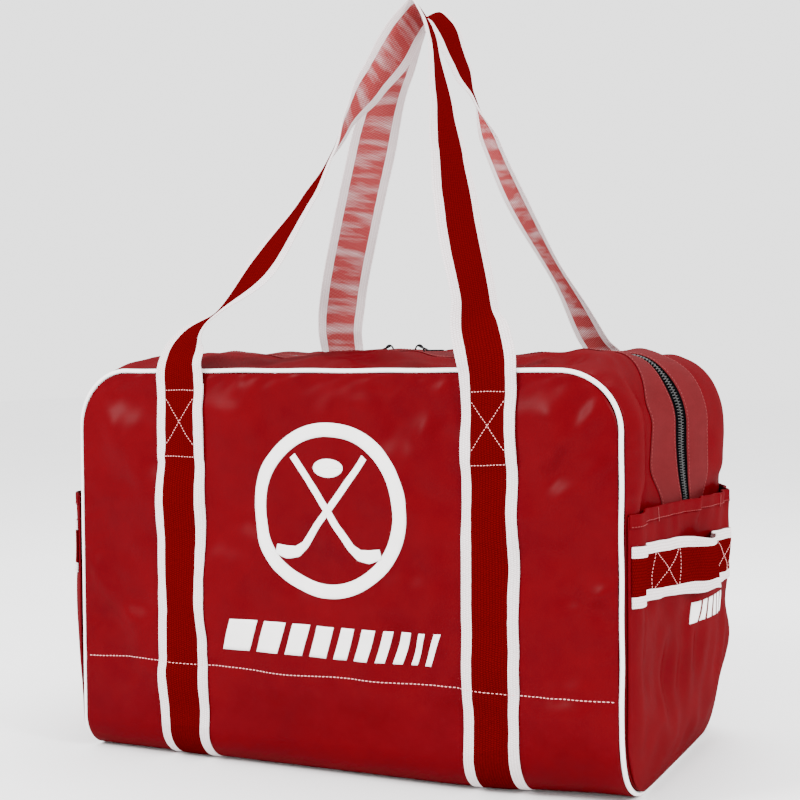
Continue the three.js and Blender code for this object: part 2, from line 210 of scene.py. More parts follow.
@dataclass(frozen=True)
class BagShape:
    """Sizes of the bag and the curves that its panels follow."""

    half_length: float = 0.333
    half_depth: float = 0.205
    seam: float = 0.455
    top_radius: float = 0.065
    turn_radius: float = 0.080
    sagged_radius: float = 0.042
    crown: float = 0.020
    crown_power: float = 2.4
    bulge: float = 0.024
    bulge_power: float = 5.0
    edge: float = 0.1995
    panel_inset: float = 0.0030
    gusset_foot: float = 0.285
    wall_foot: float = 0.0065
    wall_top: float = 0.300
    pocket_top: float = 0.306

    def arch(self, s: Array) -> tuple[Array, Array, Array, Array]:
        """Line of the gusset seen from the front: level, a quarter circle, then straight down.

        Args:
            s: length from the middle of the top, negative to the left.

        Returns:
            x, z, and the outward direction's x and z.
        """
        level = self.half_length - self.top_radius
        arc = np.pi / 2 * self.top_radius
        far = np.abs(s)
        side = np.sign(s)
        angle = np.clip(far - level, 0, arc) / self.top_radius
        down = np.maximum(far - level - arc, 0)
        x = side * (np.minimum(far, level) + self.top_radius * np.sin(angle))
        z = self.seam - self.top_radius * (1 - np.cos(angle)) - down
        return x, z, side * np.sin(angle), np.cos(angle)

    def arch_length(self, z: float) -> float:
        """Length from the middle of the top to a height on the straight part of the arch."""
        level = self.half_length - self.top_radius
        return level + np.pi / 2 * self.top_radius + self.seam - self.top_radius - z

    def gusset(self, s: Array, y: Array) -> Array:
        """The arch swollen outwards by 1 - |y / half depth|^power: low on top, boxy on the ends.

        Args:
            s: length along the arch.
            y: place across the bag.

        Returns:
            (..., 3) points.
        """
        x, z, nx, nz = self.arch(s)
        share = np.abs(y) / self.half_depth
        top = self.crown * (1 - share**self.crown_power)
        end = self.bulge * (1 - share**self.bulge_power)
        out = top + (end - top) * np.abs(nx)
        return np.stack(np.broadcast_arrays(x + nx * out, y, z + nz * out), axis=-1)

    def radius(self, x: Array | float) -> Array:
        """Radius of the turn under the bag: small where the load fills it, full at the right."""
        fuller = smooth(np.asarray(x, float), 0.12, self.half_length)
        return self.sagged_radius + (self.turn_radius - self.sagged_radius) * fuller

    def turn_length(self, z: Array | float, x: Array | float = 0.0) -> Array:
        """Length along the wrap from the middle of the base to a height on the front or rear."""
        radius = self.radius(x)
        flat = self.half_depth - self.turn_radius
        stretch = (self.seam - self.turn_radius) / (self.seam - radius)
        angle = np.arccos(np.clip(1 - z / radius, 0, 1))
        return flat + self.turn_radius * angle + np.maximum(z - radius, 0) * stretch

    def wrap(self, t: Array, x: Array | float = 0.0) -> tuple[Array, Array]:
        """Line of the wrap seen from the end: floor, a quarter circle, then straight up.

        Args:
            t: length from the middle of the base, negative to the front.
            x: place along the bag, which sets the radius of the turn.

        Returns:
            y and z.
        """
        radius = self.radius(x)
        flat = self.half_depth - self.turn_radius
        arc = np.pi / 2 * self.turn_radius
        far = np.abs(t)
        angle = np.clip(far - flat, 0, arc) / self.turn_radius
        level = np.minimum(far, flat) * (self.half_depth - radius) / flat
        stretch = (self.seam - radius) / (self.seam - self.turn_radius)
        y = np.sign(t) * (level + radius * np.sin(angle))
        z = radius * (1 - np.cos(angle)) + np.maximum(far - flat - arc, 0) * stretch
        return y, z

    def half_width(self, z: Array) -> Array:
        """Half the width of the front panel at a height: straight, then a round top corner."""
        radius = self.top_radius - self.panel_inset
        over = np.clip(z - (self.seam - self.top_radius), 0, radius)
        return self.half_length - self.top_radius + np.sqrt(radius**2 - over**2)

    def end_half(self, z: Array, end: End) -> Array:
        """Half the width of an end at a height: it narrows where the wrap turns under."""
        turn = self.radius(end.value * self.half_length)
        radius = turn - 0.0055
        drop = np.clip(turn - z, 0, radius)
        return self.half_depth - turn + np.sqrt(radius**2 - drop**2)


# ---------------------------------------------------------------- meshes


def grid_quads(rows: int, columns: int, closed: bool = False) -> Array:
    """Quads of a grid of points numbered row by row.

    Args:
        rows: how many rows.
        columns: how many points in a row.
        closed: True if the last column joins the first.

    Returns:
        (n, 4) vertex numbers.
    """
    i, j = np.meshgrid(np.arange(rows - 1), np.arange(columns - (not closed)), indexing="ij")
    k = (j + 1) % columns
    corners = (i * columns + j, (i + 1) * columns + j, (i + 1) * columns + k, i * columns + k)
    return np.stack(corners, axis=-1).reshape(-1, 4)


def wall_quads(rows: int, columns: int) -> Array:
    """Quads of a closed wall: a grid, the same grid behind it turned over, and their rim.

    Args:
        rows: how many rows.
        columns: how many points in a row.

    Returns:
        (n, 4) vertex numbers, where those of the grid behind follow those of the grid in front.
    """
    quads = grid_quads(rows, columns)
    count = rows * columns
    number = np.arange(count).reshape(rows, columns)
    rim = np.concatenate([number[:-1, 0], number[-1, :-1], number[:0:-1, -1], number[0, :0:-1]])
    ahead = np.roll(rim, -1)
    side = np.stack([ahead, rim, rim + count, ahead + count], axis=-1)
    return np.concatenate([quads, quads[:, ::-1] + count, side])


def tube(path: Array, side: Array, out: Array, radius: float, sides: int) -> Array:
    """Round rings along a path: each point + radius x (side x cos a + out x sin a).

    Args:
        path: (n, 3) points.
        side: unit vectors across the path.
        out: unit vectors across the path and across side.
        radius: radius of the rings.
        sides: points round each ring.

    Returns:
        (n, sides, 3) rings.
    """
    angle = np.linspace(0, 2 * np.pi, sides, endpoint=False)[None, :, None]
    return path[:, None, :] + radius * (
        side[:, None, :] * np.cos(angle) + out[:, None, :] * np.sin(angle)
    )


def facing_out(points: Array, faces: list[list[int]]) -> list[list[int]]:
    """Turns every face over if the closed surface's signed volume is below zero.

    Args:
        points: (n, 3) vertices.
        faces: polygons of a closed surface that all turn the same way.

    Returns:
        The polygons, facing out.
    """
    fan = np.array([(f[0], f[k], f[k + 1]) for f in faces for k in range(1, len(f) - 1)])
    a, b, c = (points[fan[:, k]] for k in range(3))
    volume = np.einsum("ij,ij->", a, np.cross(b, c))
    return faces if volume > 0 else [f[::-1] for f in faces]


def make_piece(
    name: str,
    points: Array,
    faces: list[list[int]],
    materials: Sequence[bpy.types.Material],
    uv: Array | None = None,
    index: Array | None = None,
) -> bpy.types.Object:
    """Makes a smooth mesh object at the origin.

    Args:
        name: name of the piece.
        points: (n, 3) vertices.
        faces: polygons.
        materials: its material slots.
        uv: (n, 2) coordinates of each vertex over the cloth, in metres.
        index: material slot of each polygon.

    Returns:
        The new object.
    """
    mesh = bpy.data.meshes.new(name)
    mesh.from_pydata(points.tolist(), [], facing_out(points, faces))
    for material in materials:
        mesh.materials.append(material)
    if index is not None:
        mesh.polygons.foreach_set("material_index", index.astype(np.int32))
    if uv is not None:
        corner = np.zeros(len(mesh.loops), np.int32)
        mesh.loops.foreach_get("vertex_index", corner)
        layer = mesh.uv_layers.new(name="Cloth")
        layer.data.foreach_set("uv", uv[corner].astype(np.float32).ravel())
    mesh.polygons.foreach_set("use_smooth", np.ones(len(mesh.polygons), bool))
    mesh.update()
    piece = bpy.data.objects.new(name, mesh)
    bpy.context.scene.collection.objects.link(piece)
    return piece


def make_wall(
    name: str,
    patch: Patch,
    rows: Array,
    columns: Array,
    thickness: float,
    materials: Sequence[bpy.types.Material],
    above: Array | float = 0.0,
) -> bpy.types.Object:
    """Closed wall of cloth: the patch, the patch moved inwards by its thickness, and their rim.

    Args:
        name: name of the piece.
        patch: surface that the outer face follows.
        rows: row coordinates of the wall's grid.
        columns: column coordinates of the wall's grid.
        thickness: thickness of the cloth.
        materials: outer and inner finish.
        above: how far the outer face stands off the patch.

    Returns:
        The new object.
    """
    a, b = np.meshgrid(rows, columns, indexing="ij")
    outer = patch.at(a, b, above)
    inner = patch.at(a, b, above - thickness)
    faces = wall_quads(*a.shape)
    cells = (a.shape[0] - 1) * (a.shape[1] - 1)
    index = np.zeros(len(faces), int)
    index[cells : 2 * cells] = len(materials) - 1
    points = np.concatenate([outer.reshape(-1, 3), inner.reshape(-1, 3)])
    uv = np.tile(np.stack([a.ravel(), b.ravel()], axis=-1), (2, 1))
    return make_piece(name, points, faces.tolist(), materials, uv, index)


def make_sweep(
    name: str,
    rings: Array,
    materials: Sequence[bpy.types.Material],
    uv: Array | None = None,
    inner: Array | None = None,
    loop: bool = False,
) -> bpy.types.Object:
    """Closed profile carried along a path.

    Args:
        name: name of the piece.
        rings: (stations, points round the profile, 3).
        materials: outer finish, and the inner one if there is one.
        uv: (stations, points, 2) coordinates over the cloth.
        inner: which edges of the profile lie on the inner face.
        loop: True if the last station joins the first.

    Returns:
        The new object.
    """
    stations, around = rings.shape[:2]
    quads = grid_quads(stations + loop, around, closed=True) % (stations * around)
    faces = quads.tolist()
    last = (stations - 1) * around
    if not loop:
        faces += [list(range(around)), list(range(last + around - 1, last - 1, -1))]
    index = np.zeros(len(faces), int)
    if inner is not None:
        index[: len(quads)] = np.tile(inner, len(quads) // around)
    flat_uv = None if uv is None else uv.reshape(-1, 2)
    return make_piece(name, rings.reshape(-1, 3), faces, materials, flat_uv, index)


def make_copies(
    name: str,
    shape: tuple[Array, list[list[int]]],
    origins: Array,
    axes: Array,
    material: bpy.types.Material,
) -> bpy.types.Object:
    """Many copies of one small closed shape in one mesh.

    Args:
        name: name of the piece.
        shape: vertices and polygons of the shape.
        origins: (n, 3) places of the copies.
        axes: (n, 3, 3) rows are where the shape's own x, y and z point.
        material: finish.

    Returns:
        The new object.
    """
    points, faces = shape
    every = origins[:, None, :] + np.einsum("kc,ncd->nkd", points, axes)
    shift = np.arange(len(origins)) * len(points)
    numbered = [[v + s for v in f] for s in shift.tolist() for f in faces]
    return make_piece(name, every.reshape(-1, 3), numbered, [material])


def stitch_shape(length: float, radius: float) -> tuple[Array, list[list[int]]]:
    """One stitch: a six-sided bead along x whose ends are small and dip into the cloth.

    Args:
        length: length of the stitch.
        radius: radius of the thread.

    Returns:
        Vertices and polygons.
    """
    sides = 6
    along = np.array([-0.5, -0.36, 0.0, 0.36, 0.5])[:, None] * length
    size = np.array([0.45, 0.95, 1.1, 0.95, 0.45])[:, None] * radius
    dip = np.array([-0.9, -0.1, 0.1, -0.1, -0.9])[:, None] * radius
    angle = np.linspace(0, 2 * np.pi, sides, endpoint=False)[None, :]
    rings = np.stack(
        np.broadcast_arrays(along, size * np.cos(angle), dip + size * np.sin(angle)), axis=-1
    )
    faces = grid_quads(5, sides, closed=True).tolist()
    faces += [list(range(sides)), list(range(5 * sides - 1, 4 * sides - 1, -1))]
    return rings.reshape(-1, 3), faces


def even(path: Array, pitch: float) -> Array:
    """Places along a polyline that are the same distance apart.

    Args:
        path: (n, k) points.
        pitch: wanted distance, measured on the first three columns.

    Returns:
        (m, k) points.
    """
    steps = np.linalg.norm(np.diff(path[:, :3], axis=0), axis=1)
    run = np.concatenate([[0], np.cumsum(steps)])
    count = max(2, round(run[-1] / pitch) + 1)
    wanted = np.linspace(0, run[-1], count)
    return np.stack([np.interp(wanted, run, path[:, k]) for k in range(path.shape[1])], axis=-1)


@dataclass(frozen=True)
class Seam:
    """Row of stitches."""

    pitch: float = 0.0042
    length: float = 0.0030
    radius: float = 0.00042

    def placed(
        self, place: Place, along: Array, across: Array, above: float
    ) -> tuple[Array, Array]:
        """Stitches along a line on a surface: x runs along the line and z is the surface's normal.

        Args:
            place: surface to sew on.
            along: first coordinate of the line.
            across: second coordinate of the line.
            above: height of the thread over the surface.

        Returns:
            Origins and axes of the stitches.
        """
        low = place(along, across, np.full(along.shape, above))
        high = place(along, across, np.full(along.shape, above + 0.001))
        line = even(np.concatenate([low, high - low], axis=1), self.pitch)
        centre = (line[1:] + line[:-1]) / 2
        x = unit(np.diff(line[:, :3], axis=0))
        z = unit(centre[:, 3:] - x * np.einsum("ij,ij->i", centre[:, 3:], x)[:, None])
        return centre[:, :3], np.stack([x, np.cross(z, x), z], axis=1)

    def sewn(
        self,
        name: str,
        place: Place,
        lines: Sequence[tuple[Array, Array]],
        above: float,
        material: bpy.types.Material,
    ) -> bpy.types.Object:
        """One piece that holds every stitch of several lines.

        Args:
            name: name of the piece.
            place: surface to sew on.
            lines: (along, across) coordinates of each line.
            above: height of the thread over the surface.
            material: finish of the thread.

        Returns:
            The new object.
        """
        parts = [self.placed(place, along, across, above) for along, across in lines]
        origins = np.concatenate([p[0] for p in parts])
        axes = np.concatenate([p[1] for p in parts])
        return make_copies(name, stitch_shape(self.length, self.radius), origins, axes, material)


def straight(a0: float, b0: float, a1: float, b1: float, count: int = 60) -> tuple[Array, Array]:
    """Coordinates of a straight line from (a0, b0) to (a1, b1)."""
    return np.linspace(a0, a1, count), np.linspace(b0, b1, count)


# ---------------------------------------------------------------- placing


def stand_for(piece: bpy.types.Object, slot: str, *nodes: str) -> None:
    """Hides the CAD nodes that a piece stands for, and reports the piece."""
    if nodes:
        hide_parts(*nodes)
    LOG.info("built %s", piece.name)


def settle(piece: bpy.types.Object, body: str, slot: str, *nodes: str) -> None:
    """Rides a piece on a body, and hides the CAD nodes it stands for."""
    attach(piece, body)
    stand_for(piece, slot, *nodes)


# ---------------------------------------------------------------- finishes


class Nodes:
    """Short way to build a material's node tree."""

    def __init__(self, name: str) -> None:
        """Makes an empty material with a Principled shader."""
        self.material = bpy.data.materials.new(name)
        self.material.use_nodes = True
        self.tree = self.material.node_tree
        self.tree.nodes.clear()
        out = self.tree.nodes.new("ShaderNodeOutputMaterial")
        self.shader = self.tree.nodes.new("ShaderNodeBsdfPrincipled")
        self.tree.links.new(self.shader.outputs[0], out.inputs[0])

    def add(self, kind: str, inputs: dict | None = None, **settings: object) -> bpy.types.Node:
        """Adds a node.

        Args:
            kind: node type without its ShaderNode prefix.
            inputs: value or output socket for each input, by name or number.
            settings: properties of the node.

        Returns:
            The node.
        """
        node = self.tree.nodes.new("ShaderNode" + kind)
        for key, value in settings.items():
            setattr(node, key, value)
        for key, value in (inputs or {}).items():
            self.put(node.inputs[key], value)
        return node

    def put(self, socket: bpy.types.NodeSocket, value: object) -> None:
        """Links an output socket to an input, or sets the input's value."""
        if isinstance(value, bpy.types.NodeSocket):
            self.tree.links.new(value, socket)
        else:
            socket.default_value = value

    def sum(self, operation: str, *values: object) -> bpy.types.NodeSocket:
        """Output of a Math node with that operation."""
        node = self.add("Math", operation=operation)
        for socket, value in zip(node.inputs, values, strict=False):
            self.put(socket, value)
        return node.outputs[0]

    def noise(self, vector: object, scale: float, detail: float = 3.0) -> bpy.types.NodeSocket:
        """Factor of a noise texture."""
        return self.add("TexNoise", {"Vector": vector, "Scale": scale, "Detail": detail}).outputs[0]

    def range(self, value: object, low: float, high: float) -> bpy.types.NodeSocket:
        """Maps 0..1 to low..high."""
        node = self.add("MapRange", {0: value, 3: low, 4: high})
        return node.outputs[0]

    def blend(self, share: object, first: object, second: object) -> bpy.types.NodeSocket:
        """Mix of two colours."""
        node = self.add("Mix", data_type="RGBA")
        self.put(node.inputs[0], share)
        self.put(node.inputs[6], first)
        self.put(node.inputs[7], second)
        return node.outputs[2]

    def bump(self, height: object, depth: float, strength: float = 1.0) -> None:
        """Puts a bump of that depth, in metres, on the shader's normal."""
        node = self.add("Bump", {"Height": height, "Distance": depth, "Strength": strength})
        self.tree.links.new(node.outputs[0], self.shader.inputs["Normal"])

    def object_place(self) -> bpy.types.NodeSocket:
        """Object coordinates."""
        return self.add("TexCoord").outputs["Object"]

    def cloth_place(self) -> tuple[bpy.types.NodeSocket, bpy.types.NodeSocket]:
        """The piece's own two coordinates over its cloth, in metres."""
        uv = self.add("UVMap", uv_map="Cloth").outputs[0]
        split = self.add("SeparateXYZ", {0: uv})
        return split.outputs[0], split.outputs[1]

    def set(self, **values: object) -> None:
        """Sets or links the shader's inputs, with underscores for the spaces in their names."""
        for key, value in values.items():
            self.put(self.shader.inputs[key.replace("_", " ")], value)


def linear(red: int, green: int, blue: int) -> tuple[float, float, float, float]:
    """Linear colour of a display colour given as 0 to 255."""
    share = np.array([red, green, blue]) / 255.0
    value = np.where(share <= 0.04045, share / 12.92, ((share + 0.055) / 1.055) ** 2.4)
    return (*value.tolist(), 1.0)


@dataclass(frozen=True)
class CoatedVinyl:
    """Vinyl coated cloth: mottled colour, partly its own uneven colour and partly painted light and
    shade that stand in for soft creases, a satin face and a fine grain over the weave.
    """

    name: str
    colour: tuple[int, int, int] = (90, 0, 8)
    # colour of the darker patches: partly the vinyl's own uneven colour, partly painted shade of
    # soft creases
    deep: tuple[int, int, int] = (64, 0, 5)
    gloss: tuple[float, float] = (0.30, 0.46)
    coat: float = 0.05
    weave: float = 0.0011

    def make(self) -> bpy.types.Material:
        """Builds the material."""
        n = Nodes(self.name)
        place = n.object_place()
        cloud = n.noise(place, 9.0, 4.0)
        scuff = n.noise(place, 55.0, 5.0)
        grain = n.noise(place, 1400.0, 2.0)
        wave = []
        for axis in "XYZ":
            node = n.add(
                "TexWave",
                {"Vector": place, "Scale": 0.314 / self.weave, "Distortion": 0.6},
                bands_direction=axis,
            )
            wave.append(node.outputs[1])
        cloth = n.sum("ADD", n.sum("ADD", wave[0], wave[1]), wave[2])
        # Colour mask from the small scuff noise and the broad cloud noise: partly the vinyl's own
        # uneven colour, partly painted light and shade that stand in for soft creases.
        shade = n.sum("MULTIPLY_ADD", scuff, 0.35, n.sum("MULTIPLY", cloud, 0.65))
        colour = n.blend(n.range(shade, 0.0, 1.0), linear(*self.deep), linear(*self.colour))
        wear = n.sum("MULTIPLY_ADD", scuff, 0.5, n.sum("MULTIPLY", cloud, 0.5))
        rough = n.range(wear, *self.gloss)
        height = n.sum("MULTIPLY_ADD", cloth, 0.22, n.sum("MULTIPLY", grain, 0.5))
        n.bump(height, 0.00012, 0.55)
        n.set(Base_Color=colour, Roughness=rough, Specular_IOR_Level=0.0)
        n.set(Coat_Weight=self.coat, Coat_Roughness=rough, Coat_IOR=1.6)
        return n.material


@dataclass(frozen=True)
class Webbing:
    """Ribbed webbing with pale edge stripes, read by its own width and length, with painted shade
    in the grooves between its ribs.
    """

    name: str
    middle: tuple[int, int, int]
    # colour of the red part in the grooves between ribs: painted shade
    groove_shade: tuple[int, int, int]
    stripe: tuple[int, int, int] = (243, 238, 238)
    # colour of the pale stripes in the grooves between ribs: painted shade
    shade: tuple[int, int, int] = (160, 128, 130)
    stripe_from: float = 0.0200
    rib: float = 0.0022
    thread: float = 0.0032
    paleness: float = 0.0

    def make(self) -> bpy.types.Material:
        """Builds the material."""
        n = Nodes(self.name)
        across, along = n.cloth_place()
        place = n.object_place()
        wander = n.sum("MULTIPLY_ADD", n.noise(place, 70.0), 0.0012, -0.0006)
        wide = n.sum("ADD", n.sum("ABSOLUTE", across), wander)
        edge = n.add("MapRange", {0: wide, 1: self.stripe_from - 2e-4, 2: self.stripe_from + 2e-4})
        column = n.sum("DIVIDE", across, self.thread)
        offset = n.sum("MULTIPLY", n.sum("FLOOR", column), 0.5)
        phase = n.sum("ADD", n.sum("DIVIDE", along, self.rib), offset)
        ribs = n.sum("ABSOLUTE", n.sum("SINE", n.sum("MULTIPLY", phase, np.pi)))
        rows = n.sum("ABSOLUTE", n.sum("SINE", n.sum("MULTIPLY", column, np.pi)))
        weave = n.sum("MULTIPLY_ADD", rows, 0.35, n.sum("MULTIPLY", ribs, 0.65))
        fuzz = n.noise(place, 800.0, 3.0)
        # Tone is low in the grooves between the ribs, where the colour carries painted shade, with
        # some random fuzz.
        tone = n.sum("MULTIPLY_ADD", fuzz, 0.5, n.sum("MULTIPLY", weave, 0.6))
        red = n.blend(n.range(tone, -0.1, 1.1), linear(*self.groove_shade), linear(*self.middle))
        wide_streaks = n.sum("MULTIPLY", across, 12.0)
        short_streaks = n.sum("MULTIPLY", along, 62.0)
        streaks = n.add("CombineXYZ", {0: wide_streaks, 1: short_streaks})
        streak = n.noise(streaks.outputs[0], 1.0)
        worn = n.add("MapRange", {0: streak, 1: 0.46, 2: 0.70, 3: 0.5, 4: 3.0})
        tips = n.sum("MULTIPLY", n.sum("POWER", ribs, 2.0), self.paleness)
        pale = n.sum("MULTIPLY", tips, worn.outputs[0])
        faded = n.blend(pale, red, linear(*self.stripe))
        white = n.blend(n.range(tone, 0.0, 1.0), linear(*self.shade), linear(*self.stripe))
        n.set(Base_Color=n.blend(edge.outputs[0], faded, white), Roughness=0.82)
        n.set(Specular_IOR_Level=0.0)
        n.bump(n.sum("MULTIPLY_ADD", fuzz, 0.15, weave), 0.00055, 1.0)
        return n.material


@dataclass(frozen=True)
class PlainCloth:
    """Plain weave cloth in one colour family, such as tape, lining or coated facing."""

    name: str
    colour: tuple[int, int, int]
    deep: tuple[int, int, int]
    rough: tuple[float, float] = (0.6, 0.8)
    weave: float = 0.0012
    relief: float = 0.00015
    streak: float = 1.0
    coat: float = 0.0

    def make(self) -> bpy.types.Material:
        """Builds the material."""
        n = Nodes(self.name)
        place = n.object_place()
        cloud = n.noise(place, 24.0, 5.0)
        stretched = n.add("Mapping", {"Vector": place, "Scale": (1.0, self.streak, 1.0)})
        marks = n.noise(stretched.outputs[0], 130.0, 4.0)
        wave = [
            n.add(
                "TexWave", {"Vector": place, "Scale": 0.314 / self.weave}, bands_direction=axis
            ).outputs[1]
            for axis in "XYZ"
        ]
        cloth = n.sum("ADD", n.sum("ADD", wave[0], wave[1]), wave[2])
        tone = n.sum("MULTIPLY_ADD", marks, 0.5, n.sum("MULTIPLY", cloud, 0.5))
        n.set(
            Base_Color=n.blend(n.range(tone, -0.2, 1.2), linear(*self.deep), linear(*self.colour)),
            Roughness=n.range(cloud, *self.rough),
            Specular_IOR_Level=0.0,
            Coat_Weight=self.coat,
            Coat_Roughness=0.5,
        )
        n.bump(n.sum("MULTIPLY_ADD", marks, 0.4, n.sum("MULTIPLY", cloth, 0.3)), self.relief, 0.6)
        return n.material


@dataclass(frozen=True)
class Moulded:
    """Smooth moulded or drawn material, such as piping, print ink, thread or metal."""

    name: str
    colour: tuple[int, int, int]
    deep: tuple[int, int, int]
    rough: tuple[float, float] = (0.35, 0.5)
    metal: float = 0.0
    grain: float = 900.0
    relief: float = 0.00004

    def make(self) -> bpy.types.Material:
        """Builds the material."""
        n = Nodes(self.name)
        place = n.object_place()
        cloud = n.noise(place, 60.0, 4.0)
        fine = n.noise(place, self.grain, 2.0)
        n.set(
            Base_Color=n.blend(n.range(cloud, 0.0, 1.0), linear(*self.deep), linear(*self.colour)),
            Roughness=n.range(fine, *self.rough),
            Metallic=self.metal,
        )
        n.bump(fine, self.relief, 0.5)
        return n.material


class Finishes:
    """Every finish of the bag, made once."""

    def __init__(self) -> None:
        """Builds the materials."""
        self.vinyl = CoatedVinyl("red_vinyl").make()
        self.backing = PlainCloth(
            "vinyl_backing", (112, 22, 24), (86, 8, 10), rough=(0.75, 0.9)
        ).make()
        self.facing = PlainCloth(
            "facing_cloth", (86, 20, 24), (72, 12, 15), rough=(0.48, 0.62), streak=0.3, coat=0.1
        ).make()
        self.lining = PlainCloth("lining_cloth", (66, 2, 4), (46, 0, 2)).make()
        self.binding = PlainCloth("binding_tape", (14, 14, 15), (7, 7, 8)).make()
        self.zip_tape = PlainCloth("zip_tape_cloth", (7, 7, 8), (3, 3, 4)).make()
        # Each webbing's second colour is painted shade for the grooves between its ribs.
        self.web_face = Webbing("webbing_face", (84, 0, 1), (34, 0, 0)).make()
        self.web_back = Webbing(
            "webbing_back", (150, 8, 14), (118, 2, 6), paleness=0.22
        ).make()
        self.piping = Moulded("piping_vinyl", (248, 246, 245), (232, 229, 228)).make()
        self.ink = Moulded("print_ink", (246, 244, 242), (236, 233, 231), rough=(0.3, 0.42)).make()
        self.thread = Moulded("sewing_thread", (238, 176, 174), (220, 140, 140), (0.6, 0.8)).make()
        self.red_thread = Moulded("red_thread", (126, 20, 24), (96, 8, 12), (0.6, 0.8)).make()
        self.teeth = Moulded("zip_nylon", (10, 10, 11), (5, 5, 6), (0.3, 0.45)).make()
        self.metal = Moulded("black_metal", (40, 40, 43), (26, 26, 28), (0.28, 0.4), 0.9).make()


# ---------------------------------------------------------------- the bag's surfaces


FACE_FOLDS = (  # x and z of both ends, width and height of each fold of the front and the rear
    (0.320, 0.420, 0.245, 0.345, 0.012, 0.0030),
    (0.300, 0.435, 0.262, 0.330, 0.010, -0.0024),
    (0.325, 0.360, 0.262, 0.300, 0.013, 0.0022),
    (0.326, 0.210, 0.285, 0.185, 0.009, 0.0026),
    (0.328, 0.170, 0.270, 0.205, 0.010, -0.0022),
    (0.140, 0.440, 0.105, 0.370, 0.011, 0.0024),
    (0.060, 0.448, 0.085, 0.380, 0.012, -0.0018),
    (-0.110, 0.446, -0.085, 0.360, 0.013, 0.0020),
    (-0.300, 0.430, -0.235, 0.300, 0.016, 0.0028),
    (-0.325, 0.150, -0.240, 0.190, 0.014, -0.0022),
    (-0.328, 0.230, -0.250, 0.150, 0.013, 0.0024),
    (0.150, 0.250, 0.135, 0.130, 0.012, -0.0020),
)


